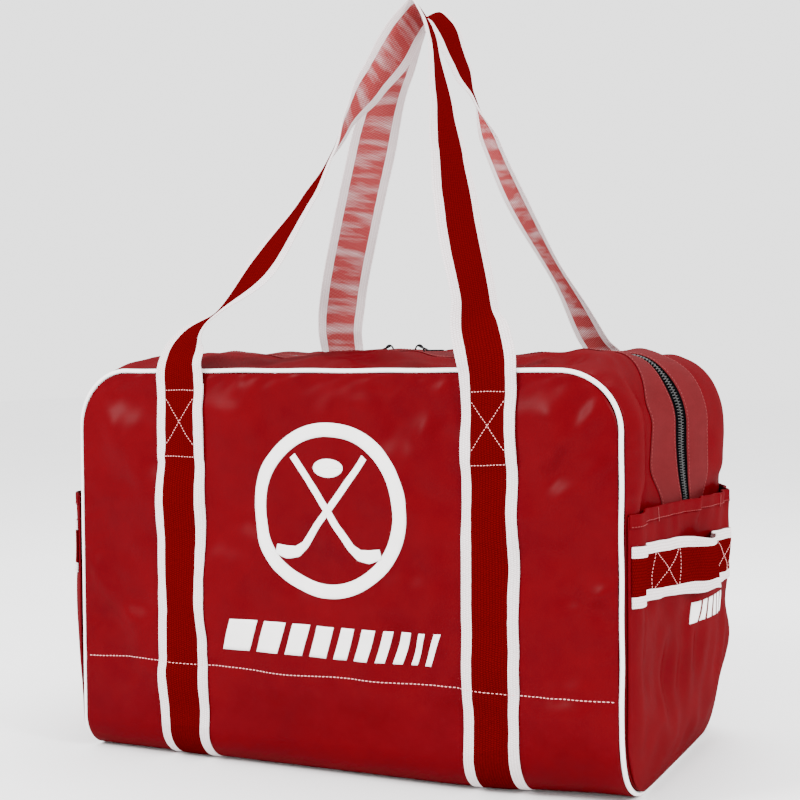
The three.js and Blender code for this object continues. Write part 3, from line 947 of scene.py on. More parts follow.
@dataclass
class Surfaces:
    """The cloth surfaces that every piece lies on, with their folds.

    Attributes:
        shape: sizes of the bag.
        cell: size of the grids' cells.
        fold_depth: how deep the folds of the faces are, as a share of their own heights.
    """

    shape: BagShape
    cell: float = 0.0045
    fold_depth: float = 1.6

    def __post_init__(self) -> None:
        """Builds the surfaces."""
        self.wrap = self.make_wrap()
        self.gusset = self.make_gusset()
        self.ends = {end: self.make_end(end, 0.0, 0.0) for end in End}
        self.pockets = {end: self.make_end(end, 0.0036, 0.0105) for end in End}

    def make_wrap(self) -> Patch:
        """Front, base and rear in one length, by (share of the half width, length round it)."""
        shape = self.shape
        corner = shape.seam - shape.top_radius
        radius = shape.top_radius - shape.panel_inset
        arc = np.sin(np.linspace(0, np.pi / 2, 18)) * radius
        turned = shape.half_depth + (np.pi / 2 - 2) * shape.turn_radius
        heights = np.concatenate([np.arange(shape.turn_radius, corner, self.cell), corner + arc])
        reach = turned + heights
        low = np.arange(0, reach[0], self.cell)
        side = np.concatenate([low, reach])
        t = np.concatenate([-side[:0:-1], side])
        share = np.linspace(-1, 1, round(2 * shape.half_length / self.cell))
        _, level = shape.wrap(t, shape.half_length)
        x = share[:, None] * shape.half_width(level)[None, :]
        y, z = shape.wrap(t[None, :], x)
        patch = Patch(share, t, np.stack([x, y, z], axis=-1), sign=-1.0)
        patch.swell(self.wrap_folds(x, t[None, :], z))
        return patch

    def wrap_folds(self, x: Array, t: Array, z: Array) -> Array:
        """Relief of the front and rear: broad sag, soft folds and puckers along every seam.

        Args:
            x: place along the bag.
            t: length round the wrap.
            z: height.

        Returns:
            Height above the plain wrap.
        """
        shape = self.shape
        half = shape.half_width(z)
        from_side = half - np.abs(x)
        from_top = shape.seam - shape.panel_inset - z
        from_seam = np.minimum(from_side, from_top)
        free = smooth(from_seam, 0.0, 0.045)
        upright = smooth(z, 0.02, 0.11)
        broad = 0.0050 * ripple(x, t, 0.21, 11) + 0.0026 * ripple(x, t, 0.085, 12)
        fine = 0.0007 * ripple(x, t, 0.032, 13)
        belly = 0.005 * np.clip(1 - (x / shape.half_length) ** 2, 0, 1)
        belly = belly * np.sin(np.pi * np.clip(z / shape.seam, 0, 1)) ** 0.7
        relief = (belly + broad + fine) * free * upright
        for line in self.face_folds():
            relief = relief + self.fold_depth * crease(x, t, line) * smooth(from_seam, 0.0, 0.02)
        pucker = ripple(x + t, 0.35 * (x - t), 0.017, 14, 8) * np.exp(-((from_seam / 0.020) ** 2))
        relief = relief + 0.0008 * pucker * smooth(from_seam, 0.0, 0.006) * upright
        row = shape.turn_length(self.row_height(x), x)
        off = np.abs(t) - row
        gather = 1.0 + 0.45 * ripple(x, 0 * t, 0.016, 15, 6)
        relief = relief - 0.0011 * np.exp(-((off / 0.006) ** 2)) * gather
        return relief

    def row_height(self, x: Array) -> Array:
        """Height of the row of stitches that holds the lining: nearly level, a little wavy."""
        return 0.1150 + 0.0012 * np.sin(x * 21.0) + 0.0008 * np.sin(x * 47.0 + 1.0)

    def face_folds(self) -> list[tuple[float, ...]]:
        """Folds that run from the top corners, the bands and the lower corners of both faces."""
        at = self.shape.turn_length
        return [
            (x0, face * at(z0), x1, face * at(z1), width, height)
            for face in (-1, 1)
            for x0, z0, x1, z1, width, height in FACE_FOLDS
        ]

    def make_gusset(self) -> Patch:
        """Arch over the top and down both ends, by (length along it, place across it)."""
        shape = self.shape
        reach = shape.arch_length(shape.gusset_foot)
        s = np.linspace(-reach, reach, round(2 * reach / self.cell))
        y = np.linspace(-shape.edge, shape.edge, 91)
        grid_s, grid_y = np.meshgrid(s, y, indexing="ij")
        patch = Patch(s, y, shape.gusset(grid_s, grid_y))
        from_seam = shape.edge - np.abs(grid_y)
        near_zip = np.exp(-((grid_y / 0.060) ** 2))
        free = smooth(from_seam, 0.0, 0.05)
        level = 1 - np.abs(shape.arch(grid_s)[2])
        calm = (1 - 0.6 * near_zip) * (0.55 + 0.45 * level)
        relief = 0.0026 * ripple(grid_s, grid_y, 0.12, 21) * calm
        relief += 0.0017 * ripple(grid_s, grid_y, 0.05, 22) * calm
        relief += 0.0018 * ripple(grid_s, 0 * grid_y, 0.15, 23) * near_zip * (1 - 0.5 * level)
        _, height, turned, _ = shape.arch(grid_s)
        relief += smooth(turned, 0.25, 0.95) * self.pressed(grid_y, height)
        relief += level * (self.sag(grid_s) - 0.006 * np.exp(-((grid_y / 0.040) ** 2)))
        pucker = ripple(grid_s, 0.4 * grid_y, 0.016, 24, 8)
        relief = relief * free + 0.0008 * pucker * np.exp(-((from_seam / 0.022) ** 2)) * smooth(
            from_seam, 0.0, 0.005
        )
        patch.swell(relief)
        return patch

    def pressed(self, y: Array, z: Array) -> Array:
        """How far the right end is pressed in at its front and out at its rear, over the pocket."""
        low = -0.026 * np.exp(-(((y + 0.11) / 0.11) ** 2))
        high = -0.032 * np.exp(-(((y + 0.075) / 0.075) ** 2)) + 0.010 * np.exp(
            -(((y - 0.10) / 0.06) ** 2)
        )
        rise = smooth(z, 0.300, 0.345)
        edge = smooth(self.shape.half_depth - np.abs(y), 0.0, 0.075)
        return (low + (high - low) * rise) * edge * smooth(z, 0.01, 0.14)

    def sag(self, s: Array) -> Array:
        """How the crown rises and sags along the bag, as a sum of bells about its folds."""
        bells = ((0.0, 0.070, 0.0030), (0.125, 0.065, -0.0095), (-0.120, 0.040, -0.0035),
                 (-0.200, 0.050, 0.0010))
        return sum(height * np.exp(-(((s - at) / wide) ** 2)) for at, wide, height in bells)

    def make_end(self, end: End, offset: float, room: float) -> Patch:
        """Panel over an end, by (share of the half width, height), held off it by offset and room.

        Args:
            end: which end.
            offset: distance off the end's surface at its seams.
            room: further distance off it in the middle.

        Returns:
            The surface.
        """
        shape = self.shape
        share = np.linspace(-1, 1, 101)
        z = np.linspace(shape.wall_foot, shape.pocket_top if room > 0 else shape.wall_top, 75)
        a, b = np.meshgrid(share, z, indexing="ij")
        half = shape.end_half(b, end)
        y = a * half
        foot = np.sin(np.pi / 2 * np.clip(b / 0.15, 0, 1))
        power = 9.0 if room > 0 and end is End.LEFT else shape.bulge_power
        body = shape.bulge * (1 - (np.abs(y) / shape.half_depth) ** power) * foot
        fill = room * np.sin(np.pi / 2 * np.clip(b / 0.12, 0, 1))
        x = shape.half_length + body + offset + fill * (1 - np.abs(a) ** power)
        if end is End.RIGHT:
            x = x + self.pressed(y, b)
        points = np.stack([end.value * x, y, b], axis=-1)
        patch = Patch(share, z, points, sign=float(end.value))
        if room > 0:
            free = smooth(1 - np.abs(a), 0.0, 0.25)
            seed = 31 if end is End.RIGHT else 41
            relief = 0.0030 * ripple(y, b, 0.11, seed)
            relief += 0.0014 * ripple(y, 0.6 * b, 0.045, seed + 1)
            low = smooth(b, 0.20, 0.12) * smooth(b, 0.01, 0.07)
            relief += 0.0022 * ripple(y, 0.18 * b, 0.050, seed + 2) * low
            gather = ripple(y, 0.12 * b, 0.021, seed + 3, 8)
            relief += 0.0013 * gather * smooth(b, 0.268, 0.298)
            patch.swell(relief * free * smooth(b, 0.008, 0.05))
        return patch

    def on_wrap(self, t: Array, x: Array, above: Array | float) -> Array:
        """Point over the wrap, by length round it and place along the bag."""
        t, x = np.broadcast_arrays(t, x)
        _, level = self.shape.wrap(t, self.shape.half_length)
        return self.wrap.at(x / self.shape.half_width(level), t, above)

    def on_front(self, x: Array, z: Array, above: Array | float) -> Array:
        """Point over the front panel, by place along the bag and height."""
        return self.on_wrap(-self.shape.turn_length(z, x), x, above)

    def on_gusset(self, s: Array, y: Array, above: Array | float) -> Array:
        """Point over the gusset, by length along it and place across it."""
        return self.gusset.at(s, y, above)

    def on_pocket(self, end: End) -> Place:
        """Surface of a pocket, by place across the bag and height."""

        def place(y: Array, z: Array, above: Array | float) -> Array:
            """Point over the pocket."""
            y, z = np.broadcast_arrays(y, z)
            return self.pockets[end].at(y / self.shape.end_half(z, end), z, above)

        return place


# ---------------------------------------------------------------- sub-assemblies


@dataclass
class Shell:
    """Vinyl body of the bag: the wrap and the end walls behind the pockets."""

    cloth: Surfaces
    finishes: Finishes
    thickness: float = 0.0018
    lining_height: float = 0.113
    lining_width: float = 0.65
    lining_thickness: float = 0.0012
    lining_gap: float = 0.0008
    row_end: float = 0.326
    end_cut: tuple[float, float] = (0.415, 0.30)

    def build(self) -> None:
        """Builds the wrap, the end walls, and the lining with its rows of stitches."""
        shape = self.cloth.shape
        patch = self.cloth.wrap
        wrap = make_wall(
            "vinyl_wrap", patch, patch.a, patch.b, self.thickness,
            [self.finishes.vinyl, self.finishes.backing],
        )
        settle(wrap, "bag", "vinyl", "front_panel", "rear_panel", "base_panel")
        length = 2 * shape.turn_length(shape.seam, shape.half_length)
        for end in End:
            self.end_wall(end)
        for face in Face:
            self.lining_row(face)
        for name in ("front_seam_binding", "rear_seam_binding"):
            dress(name, self.finishes.binding)
        self.lining()

    def lining(self) -> None:
        """Lining of the base, inside the wrap and up to the row of stitches."""
        patch = self.cloth.wrap
        high = self.cloth.shape.turn_length(self.lining_height, self.cloth.shape.half_length)
        lining = make_wall(
            "base_lining_cloth", patch, patch.a[3:-3:2], np.linspace(-high, high, 90),
            self.lining_thickness, [self.finishes.lining],
            above=-self.thickness - self.lining_gap,
        )
        settle(lining, "bag", "lining", "base_lining")

    def end_wall(self, end: End) -> None:
        """Wall of the main room behind a pocket."""
        side = end.name.lower()
        patch = self.cloth.ends[end]
        wall = make_wall(
            side + "_end_wall", patch, patch.a[::2], patch.b[::2], self.thickness,
            [self.finishes.vinyl, self.finishes.backing],
        )
        settle(wall, "bag", "vinyl", side + "_end_panel")

    def lining_row(self, face: Face) -> None:
        """Row of stitches along the front or rear that holds the lining."""
        x = np.linspace(-self.row_end, self.row_end, 300)
        t = face.value * self.cloth.shape.turn_length(self.cloth.row_height(x), x)
        seam = Seam(pitch=0.0046, length=0.0031, radius=0.0005)

        def place(along: Array, across: Array, above: Array) -> Array:
            """Surface over the vinyl, and over the webbing where a band crosses."""
            lift = CarryWebbing.over * (np.abs(np.abs(along) - CarryWebbing.place) < 0.032)
            return self.cloth.on_wrap(across, along, above + lift)

        row = seam.sewn(
            face.name.lower() + "_lining_stitches", place, [(x, t)], 0.0003, self.finishes.thread
        )
        settle(row, "bag", "thread")


def dress(node: str, material: bpy.types.Material) -> None:
    """Gives a CAD node a finish."""
    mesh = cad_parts[node].data
    mesh.materials.clear()
    mesh.materials.append(material)


def strip_rings(place: Place, along: Array, profile: Array) -> tuple[Array, Array]:
    """Profile carried along a surface.

    Args:
        place: surface to follow, by (along, across, above).
        along: stations.
        profile: (points, 2) across and above.

    Returns:
        Rings, and coordinates (across, along) over the cloth.
    """
    a, w = np.meshgrid(along, profile[:, 0], indexing="ij")
    h = np.broadcast_to(profile[:, 1], a.shape)
    return place(a, w, h), np.stack([w, a], axis=-1)


def tape_profile(low: float, high: float, base: float, thickness: float, cells: int = 8) -> Array:
    """Flat tape with round edges: out along its top and back along its underside.

    Args:
        low: one edge.
        high: the other edge.
        base: height of the underside.
        thickness: thickness of the tape.
        cells: how many cells there are across it.

    Returns:
        (points, 2) across and above.
    """
    round_off = min(0.6 * thickness, (high - low) / 6)
    inner = np.linspace(low + round_off, high - round_off, cells + 1)
    across = np.concatenate([[low + 0.25 * round_off], inner, [high - 0.25 * round_off]])
    top = np.full(across.shape, base + thickness)
    under = np.full(across.shape, base)
    top[[0, -1]] -= 0.3 * thickness
    under[[0, -1]] += 0.25 * thickness
    upper = np.stack([across, top], axis=-1)
    lower = np.stack([across, under], axis=-1)[::-1]
    rims = np.array([[[low, base + thickness / 2]], [[high, base + thickness / 2]]])
    return np.concatenate([rims[0], upper, rims[1], lower])


def inner_edges(cells: int = 8) -> Array:
    """Which edges of a tape's profile lie on its underside."""
    count = 2 * (cells + 3) + 2
    return np.arange(count) > cells + 3


@dataclass
class ZipGusset:
    """Top and upper ends of the bag: vinyl, facing strips, zip tapes and teeth."""

    cloth: Surfaces
    finishes: Finishes
    thickness: float = 0.0018
    vinyl_from: float = 0.0150
    facing_from: float = 0.0100
    facing_to: float = 0.0585
    facing_thickness: float = 0.0009
    tape_to: float = 0.0240
    tape_thickness: float = 0.0009
    tooth_pitch: float = 0.0030
    tooth_place: float = 0.0022
    facing_foot: float = 0.290
    tape_foot: float = 0.292
    teeth_foot: float = 0.300
    stitch_foot: float = 0.302

    def build(self) -> None:
        """Builds both halves."""
        for face in Face:
            self.vinyl(face)
            self.facing(face)
            self.tape(face)
            self.teeth(face)
            self.stitches(face)

    def reach(self, z: float) -> float:
        """Length from the middle of the top to a height."""
        return self.cloth.shape.arch_length(z)

    def parts(self, face: Face, kind: str) -> list[str]:
        """Names of a half's three CAD nodes of a kind: over the top, and down each end."""
        name = face.name.lower()
        return [f"{name}_top_{kind}", f"left_{name}_end_{kind}", f"right_{name}_end_{kind}"]

    def place_half(self, piece: bpy.types.Object, face: Face, slot: str, *nodes: str) -> None:
        """Bakes a piece's transform into its mesh, and hides the CAD nodes it stands for."""
        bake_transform(piece)
        stand_for(piece, slot, *nodes)

    def vinyl(self, face: Face) -> None:
        """Vinyl between the seam and the zip."""
        name = face.name.lower()
        patch = self.cloth.gusset
        seam = self.cloth.shape.edge + 0.0015
        columns = np.sort(face.value * np.linspace(self.vinyl_from, seam, 44))
        piece = make_wall(
            name + "_gusset_vinyl", patch, patch.a, np.clip(columns, patch.b[0], patch.b[-1]),
            self.thickness, [self.finishes.vinyl, self.finishes.backing],
        )
        self.place_half(piece, face, "vinyl", *self.parts(face, "gusset"))
        length = 2 * self.reach(self.cloth.shape.gusset_foot)

    def strip(self, face: Face, profile: Array, foot: float, step: float) -> tuple[Array, Array]:
        """Rings of a strip along one half of the gusset."""
        reach = self.reach(foot)
        along = np.linspace(-reach, reach, round(2 * reach / step))
        profile = profile * np.array([face.value, 1.0])
        return strip_rings(self.cloth.on_gusset, along, profile)

    def facing(self, face: Face) -> None:
        """Facing strip sewn over the vinyl beside the zip."""
        profile = tape_profile(
            self.facing_from, self.facing_to, 0.0002, self.facing_thickness, cells=12
        )
        rings, uv = self.strip(face, profile, self.facing_foot, 0.004)
        piece = make_sweep(face.name.lower() + "_zip_facing", rings, [self.finishes.facing], uv)
        self.place_half(piece, face, "facing", *self.parts(face, "facing"))
        2 * self.reach(self.facing_foot)

    def tape(self, face: Face) -> None:
        """Woven tape of the zip."""
        profile = tape_profile(
            0.0006, self.tape_to, -self.tape_thickness, self.tape_thickness, cells=4
        )
        rings, uv = self.strip(face, profile, self.tape_foot, 0.005)
        piece = make_sweep(face.name.lower() + "_tape", rings, [self.finishes.zip_tape], uv)
        self.place_half(piece, face, "zip", face.name.lower() + "_zip_tape")

    def teeth(self, face: Face) -> None:
        """Teeth: blocks with a narrow waist, half a pitch apart from the other half's."""
        reach = self.reach(self.teeth_foot)
        shift = 0.25 * face.value * self.tooth_pitch
        s = np.arange(-reach, reach, self.tooth_pitch) + shift
        y = np.full(s.shape, face.value * self.tooth_place)
        here = self.cloth.on_gusset(s, y, 0.0)
        x = unit(self.cloth.on_gusset(s + 1e-3, y, 0.0) - here)
        z = unit(self.cloth.on_gusset(s, y, 1e-3) - here)
        axes = np.stack([x, face.value * np.cross(z, x), z], axis=1)
        name = face.name.lower()
        piece = make_copies(name + "_teeth", self.tooth(), here, axes, self.finishes.teeth)
        end = "left" if face is Face.FRONT else "right"
        self.place_half(piece, face, "zip", name + "_zip_teeth", end + "_zip_end")

    def tooth(self) -> tuple[Array, list[list[int]]]:
        """One tooth: a rounded block from y -3.0 to 3.0 mm whose head is wider than its neck."""
        stations = np.array([-0.0030, -0.0024, -0.0008, 0.0006, 0.0030])
        half = np.array([0.0005, 0.00085, 0.00085, 0.0006, 0.0006])
        top = np.array([0.0006, 0.0013, 0.0013, 0.0010, 0.0006])
        corners = np.array([[-1, 0], [-1, 0.7], [-0.6, 1], [0.6, 1], [1, 0.7], [1, 0]])
        x = half[:, None] * corners[None, :, 0]
        z = top[:, None] * corners[None, :, 1]
        y = np.broadcast_to(stations[:, None], x.shape)
        rings = np.stack([x, y, z], axis=-1)
        faces = grid_quads(5, 6, closed=True).tolist()
        faces += [list(range(6)), list(range(29, 23, -1))]
        return rings.reshape(-1, 3), faces

    def stitches(self, face: Face) -> None:
        """Two rows along each facing strip."""
        reach = self.reach(self.stitch_foot)
        lines = []
        for y in (self.facing_from + 0.0028, self.facing_to - 0.0026):
            lines.append(straight(-reach, face.value * y, reach, face.value * y, 500))
        above = 0.0003 + self.facing_thickness
        seam = Seam(pitch=0.0042, length=0.0029, radius=0.00036)
        row = seam.sewn(
            face.name.lower() + "_facing_stitches", self.cloth.on_gusset, lines, above,
            self.finishes.red_thread,
        )
        self.place_half(row, face, "thread")


@dataclass
class SeamPiping:
    """White piping: one closed loop round the front, base and rear."""

    cloth: Surfaces
    finishes: Finishes
    radius: float = 0.0027
    gap: float = 0.0003
    inset: float = 0.0030

    def build(self) -> None:
        """Builds the loop: each face's arch, joined by the turn under each end."""
        shape = self.cloth.shape
        path = even(self.path(), 0.003)[:-1]
        number = np.arange(len(path))
        wander = 0.0004 * np.sin(number * 0.21) + 0.0003 * np.sin(number * 0.083)
        centre = np.array([0.0, 0.0, shape.seam / 2])
        tangent = tangents(path, loop=True)
        side = unit(np.cross(tangent, path - centre))
        out = np.cross(side, tangent)
        path = path + side * wander[:, None]
        rings = tube(path, side, out, self.radius, 12)
        piece = make_sweep("seam_piping", rings, [self.finishes.piping], loop=True)
        nodes = [name + "_piping" for name in ("front", "rear", "left_end", "right_end")]
        settle(piece, "bag", "piping", *nodes)

    def path(self) -> Array:
        """Line of the loop: up, over and down the front, under, up, over and down the rear."""
        shape = self.cloth.shape
        y = shape.half_depth - self.inset
        turn = {end: float(shape.radius(end.value * shape.half_length)) for end in End}
        s = np.linspace(
            -shape.arch_length(turn[End.LEFT]), shape.arch_length(turn[End.RIGHT]), 400
        )
        x, z, nx, nz = shape.arch(s)
        front = np.stack([x - nx * self.gap, np.full(s.shape, -y), z - nz * self.gap], axis=-1)
        rear = front[::-1] * np.array([1.0, -1.0, 1.0])
        under = self.under(End.RIGHT, turn[End.RIGHT])
        back = self.under(End.LEFT, turn[End.LEFT])[::-1]
        loop = np.concatenate([front, under, rear, back])
        return np.concatenate([loop, loop[:1]])

    def under(self, end: End, turn: float) -> Array:
        """Line of the piping below an end, from the front turn to the rear one."""
        shape = self.cloth.shape
        half = np.linspace(0, np.pi / 2, 30)[1:]
        radius = turn - self.inset
        y = -(shape.half_depth - turn) - radius * np.cos(half)
        z = turn - radius * np.sin(half)
        x = np.full(2 * len(half), end.value * (shape.half_length - self.gap))
        return np.stack([x, np.concatenate([y, -y[::-1]]), np.concatenate([z, z[::-1]])], axis=-1)


@dataclass
class EndPocket:
    """Pocket over an end, its hem, its grab handle and their stitches."""

    cloth: Surfaces
    finishes: Finishes
    end: End
    thickness: float = 0.0018
    cut: tuple[float, float] = (0.43, 0.30)
    panel_top: float = 0.3055
    hem: float = 0.013
    hem_top: float = 0.3057
    hem_thickness: float = 0.0009
    hem_half: float = 0.1985
    web_half: float = 0.03175
    web_thickness: float = 0.0018
    web_end: float = 0.1965
    web_height: float = 0.243
    web_fall: float = 0.016
    loop_half: float = 0.052
    loop_room: float = 0.0235
    box_places: tuple[float, float] = (0.056, 0.116)
    box_half: float = 0.020
    tack_places: tuple[float, float] = (-0.10, 0.07)
    bar_heights: tuple[float, float] = (0.167, 0.190)

    def build(self) -> None:
        """Builds the pocket's pieces."""
        self.panel()
        self.hem_fold()
        self.grab()
        self.stitches()
        self.bars()

    @property
    def side(self) -> str:
        """Name of the end."""
        return self.end.name.lower()

    def panel(self) -> None:
        """Vinyl panel of the pocket."""
        patch = self.cloth.pockets[self.end]
        rows = np.linspace(-1, 1, 141)
        columns = np.linspace(patch.b[0], self.panel_top, 99)
        piece = make_wall(
            self.side + "_pocket_panel", patch, rows, columns, self.thickness,
            [self.finishes.vinyl, self.finishes.backing],
        )
        settle(piece, "bag", "vinyl", self.side + "_pocket")

    def hem_fold(self) -> None:
        """Hem: the top edge folded over, from inside the pocket to outside."""
        place = self.cloth.on_pocket(self.end)
        edge = self.hem_top
        low = edge - self.hem
        thick = self.hem_thickness
        bend = np.linspace(-np.pi / 2, np.pi / 2, 9)
        lap = self.thickness / 2
        outer = np.stack([edge + (lap + thick) * np.cos(bend), (lap + thick) * np.sin(bend) - lap])
        inner = np.stack([edge + lap * np.cos(bend), lap * np.sin(bend) - lap])
        down = np.linspace(edge, low, 6)[1:]
        out_leg = np.stack([down, np.full(5, thick)])
        out_back = np.stack([down[::-1], np.full(5, 0.0001)])
        in_leg = np.stack([down, np.full(5, -2 * lap - thick)])
        in_back = np.stack([down[::-1], np.full(5, -2 * lap - 0.0001)])
        ring = np.concatenate(
            [outer, out_leg, out_back, inner[:, ::-1], in_back[:, ::-1], in_leg[:, ::-1]], axis=1
        ).T
        y = np.linspace(-self.hem_half, self.hem_half, 150)
        a, z = np.meshgrid(y, ring[:, 0], indexing="ij")
        above = np.broadcast_to(ring[:, 1], a.shape)
        top = np.minimum(z, BagShape.pocket_top - 0.0001)
        over = np.array([0.0, 0.0, 1.0]) * (z - top)[..., None]
        rings = place(a, top, above) + over
        uv = np.stack([z, a], axis=-1)
        piece = make_sweep(self.side + "_hem", rings, [self.finishes.vinyl], uv)
        settle(piece, "bag", "vinyl", self.side + "_pocket_hem")

    def grab_place(self, y: Array, w: Array, above: Array | float) -> Array:
        """Surface of the grab handle: on the pocket, and off it by cos^1.5 in the free middle.

        Args:
            y: place across the bag.
            w: place across the webbing.
            above: height over the webbing's underside.

        Returns:
            Points.
        """
        free = np.cos(np.pi / 2 * np.clip(np.abs(y) / self.loop_half, 0, 1)) ** 1.5
        z = self.web_height - self.web_fall * (y / 0.4 + 0.5) + w
        lift = 0.0006 + self.loop_room * free
        return self.cloth.on_pocket(self.end)(y, z, above + lift)

    def grab(self) -> None:
        """Webbing handle across the pocket."""
        profile = tape_profile(-self.web_half, self.web_half, 0.0, self.web_thickness)
        along = np.linspace(-self.web_end, self.web_end, 200)
        rings, uv = strip_rings(self.grab_place, along, profile)
        piece = make_sweep(
            self.side + "_grab_webbing", rings,
            [self.finishes.web_face, self.finishes.web_back], uv, inner_edges(),
        )
        settle(piece, "bag", "webbing", self.side + "_grab_handle")
        length = np.linalg.norm(np.diff(rings[:, 0], axis=0), axis=1).sum()

    def stitches(self) -> None:
        """Crossed boxes on the grab handle, and the row and the bar tacks along the hem."""
        lines = []
        half, tip = self.box_half, self.box_half - 0.0005
        for sign in (-1, 1):
            near, far = (place * sign for place in self.box_places)
            inset = 0.004 * sign
            lines += [
                straight(near, -half, near, half),
                straight(far, -half, far, half),
                straight(near + inset, -tip, far - inset, tip),
                straight(near + inset, tip, far - inset, -tip),
            ]
        seam = Seam(pitch=0.0040, length=0.0026, radius=0.00038)
        boxes = seam.sewn(
            self.side + "_grab_stitches", self.grab_place, lines,
            self.web_thickness + 0.0001, self.finishes.thread,
        )
        settle(boxes, "bag", "thread")
        place = self.cloth.on_pocket(self.end)
        hem = Seam(pitch=0.0042, length=0.0029, radius=0.00036).sewn(
            self.side + "_hem_stitches", place,
            [straight(-0.197, 0.2945, 0.197, 0.2945, 300)], 0.0010, self.finishes.red_thread,
        )
        settle(hem, "bag", "thread")
        tacks = Seam(pitch=0.0008, length=0.0050, radius=0.0004)
        bars = [straight(y, 0.2925, y, 0.3045, 12) for y in self.tack_places]
        tack = tacks.sewn(self.side + "_bar_tacks", place, bars, 0.0011, self.finishes.red_thread)
        settle(tack, "bag", "thread")

    def bars(self) -> None:
        """Row of slanted bars printed below the grab handle."""
        sign = self.end.value
        bars = bar_row(-0.022, [0.020, 0.014, 0.014, 0.009, 0.009, 0.006], 0.006)
        print_bars(
            self.side + "_pocket_print", self.cloth.on_pocket(self.end), bars, self.bar_heights,
            0.008 * sign, self.finishes.ink, sign,
        )


def bar_row(start: float, widths: Sequence[float], gap: float) -> list[tuple[float, float]]:
    """Left edge and width of each bar of a row that begins at start, with a gap after each bar."""
    run = np.concatenate([[0], np.cumsum(np.array(widths) + gap)])[:-1]
    return [(start + left, width) for left, width in zip(run.tolist(), widths, strict=True)]


def print_bars(
    name: str,
    place: Place,
    bars: Sequence[tuple[float, float]],
    heights: tuple[float, float],
    slant: float,
    material: bpy.types.Material,
    mirror: int = 1,
) -> None:
    """Slanted bars of ink on a surface, each a thin closed slab.

    Args:
        name: name of the piece.
        place: surface, by (horizontal place, height, above).
        bars: (left edge, width) of each bar.
        heights: lower and upper edge.
        slant: how far the upper edge is moved sideways.
        material: finish.
        mirror: -1 to run the row the other way.
    """
    rows, columns = 9, 13
    v = np.linspace(0, 1, rows)[:, None]
    u = np.linspace(0, 1, columns)[None, :]
    slabs = [
        ink_slab(
            place,
            mirror * (left + width * u) + slant * v,
            heights[0] + (heights[1] - heights[0]) * v + 0 * u,
        )
        for left, width in bars
    ]
    print_slabs(name, slabs, material)


def print_slabs(
    name: str, slabs: Sequence[tuple[Array, Array]], material: bpy.types.Material
) -> None:
    """Makes one piece of print out of several slabs of ink.

    Args:
        name: name of the piece.
        slabs: vertices and quads of each slab.
        material: finish.
    """
    before = np.cumsum([0] + [len(points) for points, _ in slabs])
    faces = np.concatenate([slab[1] + start for slab, start in zip(slabs, before, strict=False)])
    points = np.concatenate([points for points, _ in slabs])
    settle(make_piece(name, points, faces.tolist(), [material]), "bag", "print")


def ink_slab(place: Place, x: Array, z: Array, lift: float = 0.0) -> tuple[Array, Array]:
    """Thin closed layer of ink over a grid of places on a surface.

    Args:
        place: surface, by (horizontal place, height, above).
        x: grid of horizontal places.
        z: grid of heights.
        lift: extra height, for a shape printed over another.

    Returns:
        Vertices and quads.
    """
    x, z = np.broadcast_arrays(x, z)
    top = place(x, z, np.full(x.shape, INK_TOP + lift))
    under = place(x, z, np.full(x.shape, INK_FOOT))
    return np.concatenate([top.reshape(-1, 3), under.reshape(-1, 3)]), wall_quads(*x.shape)


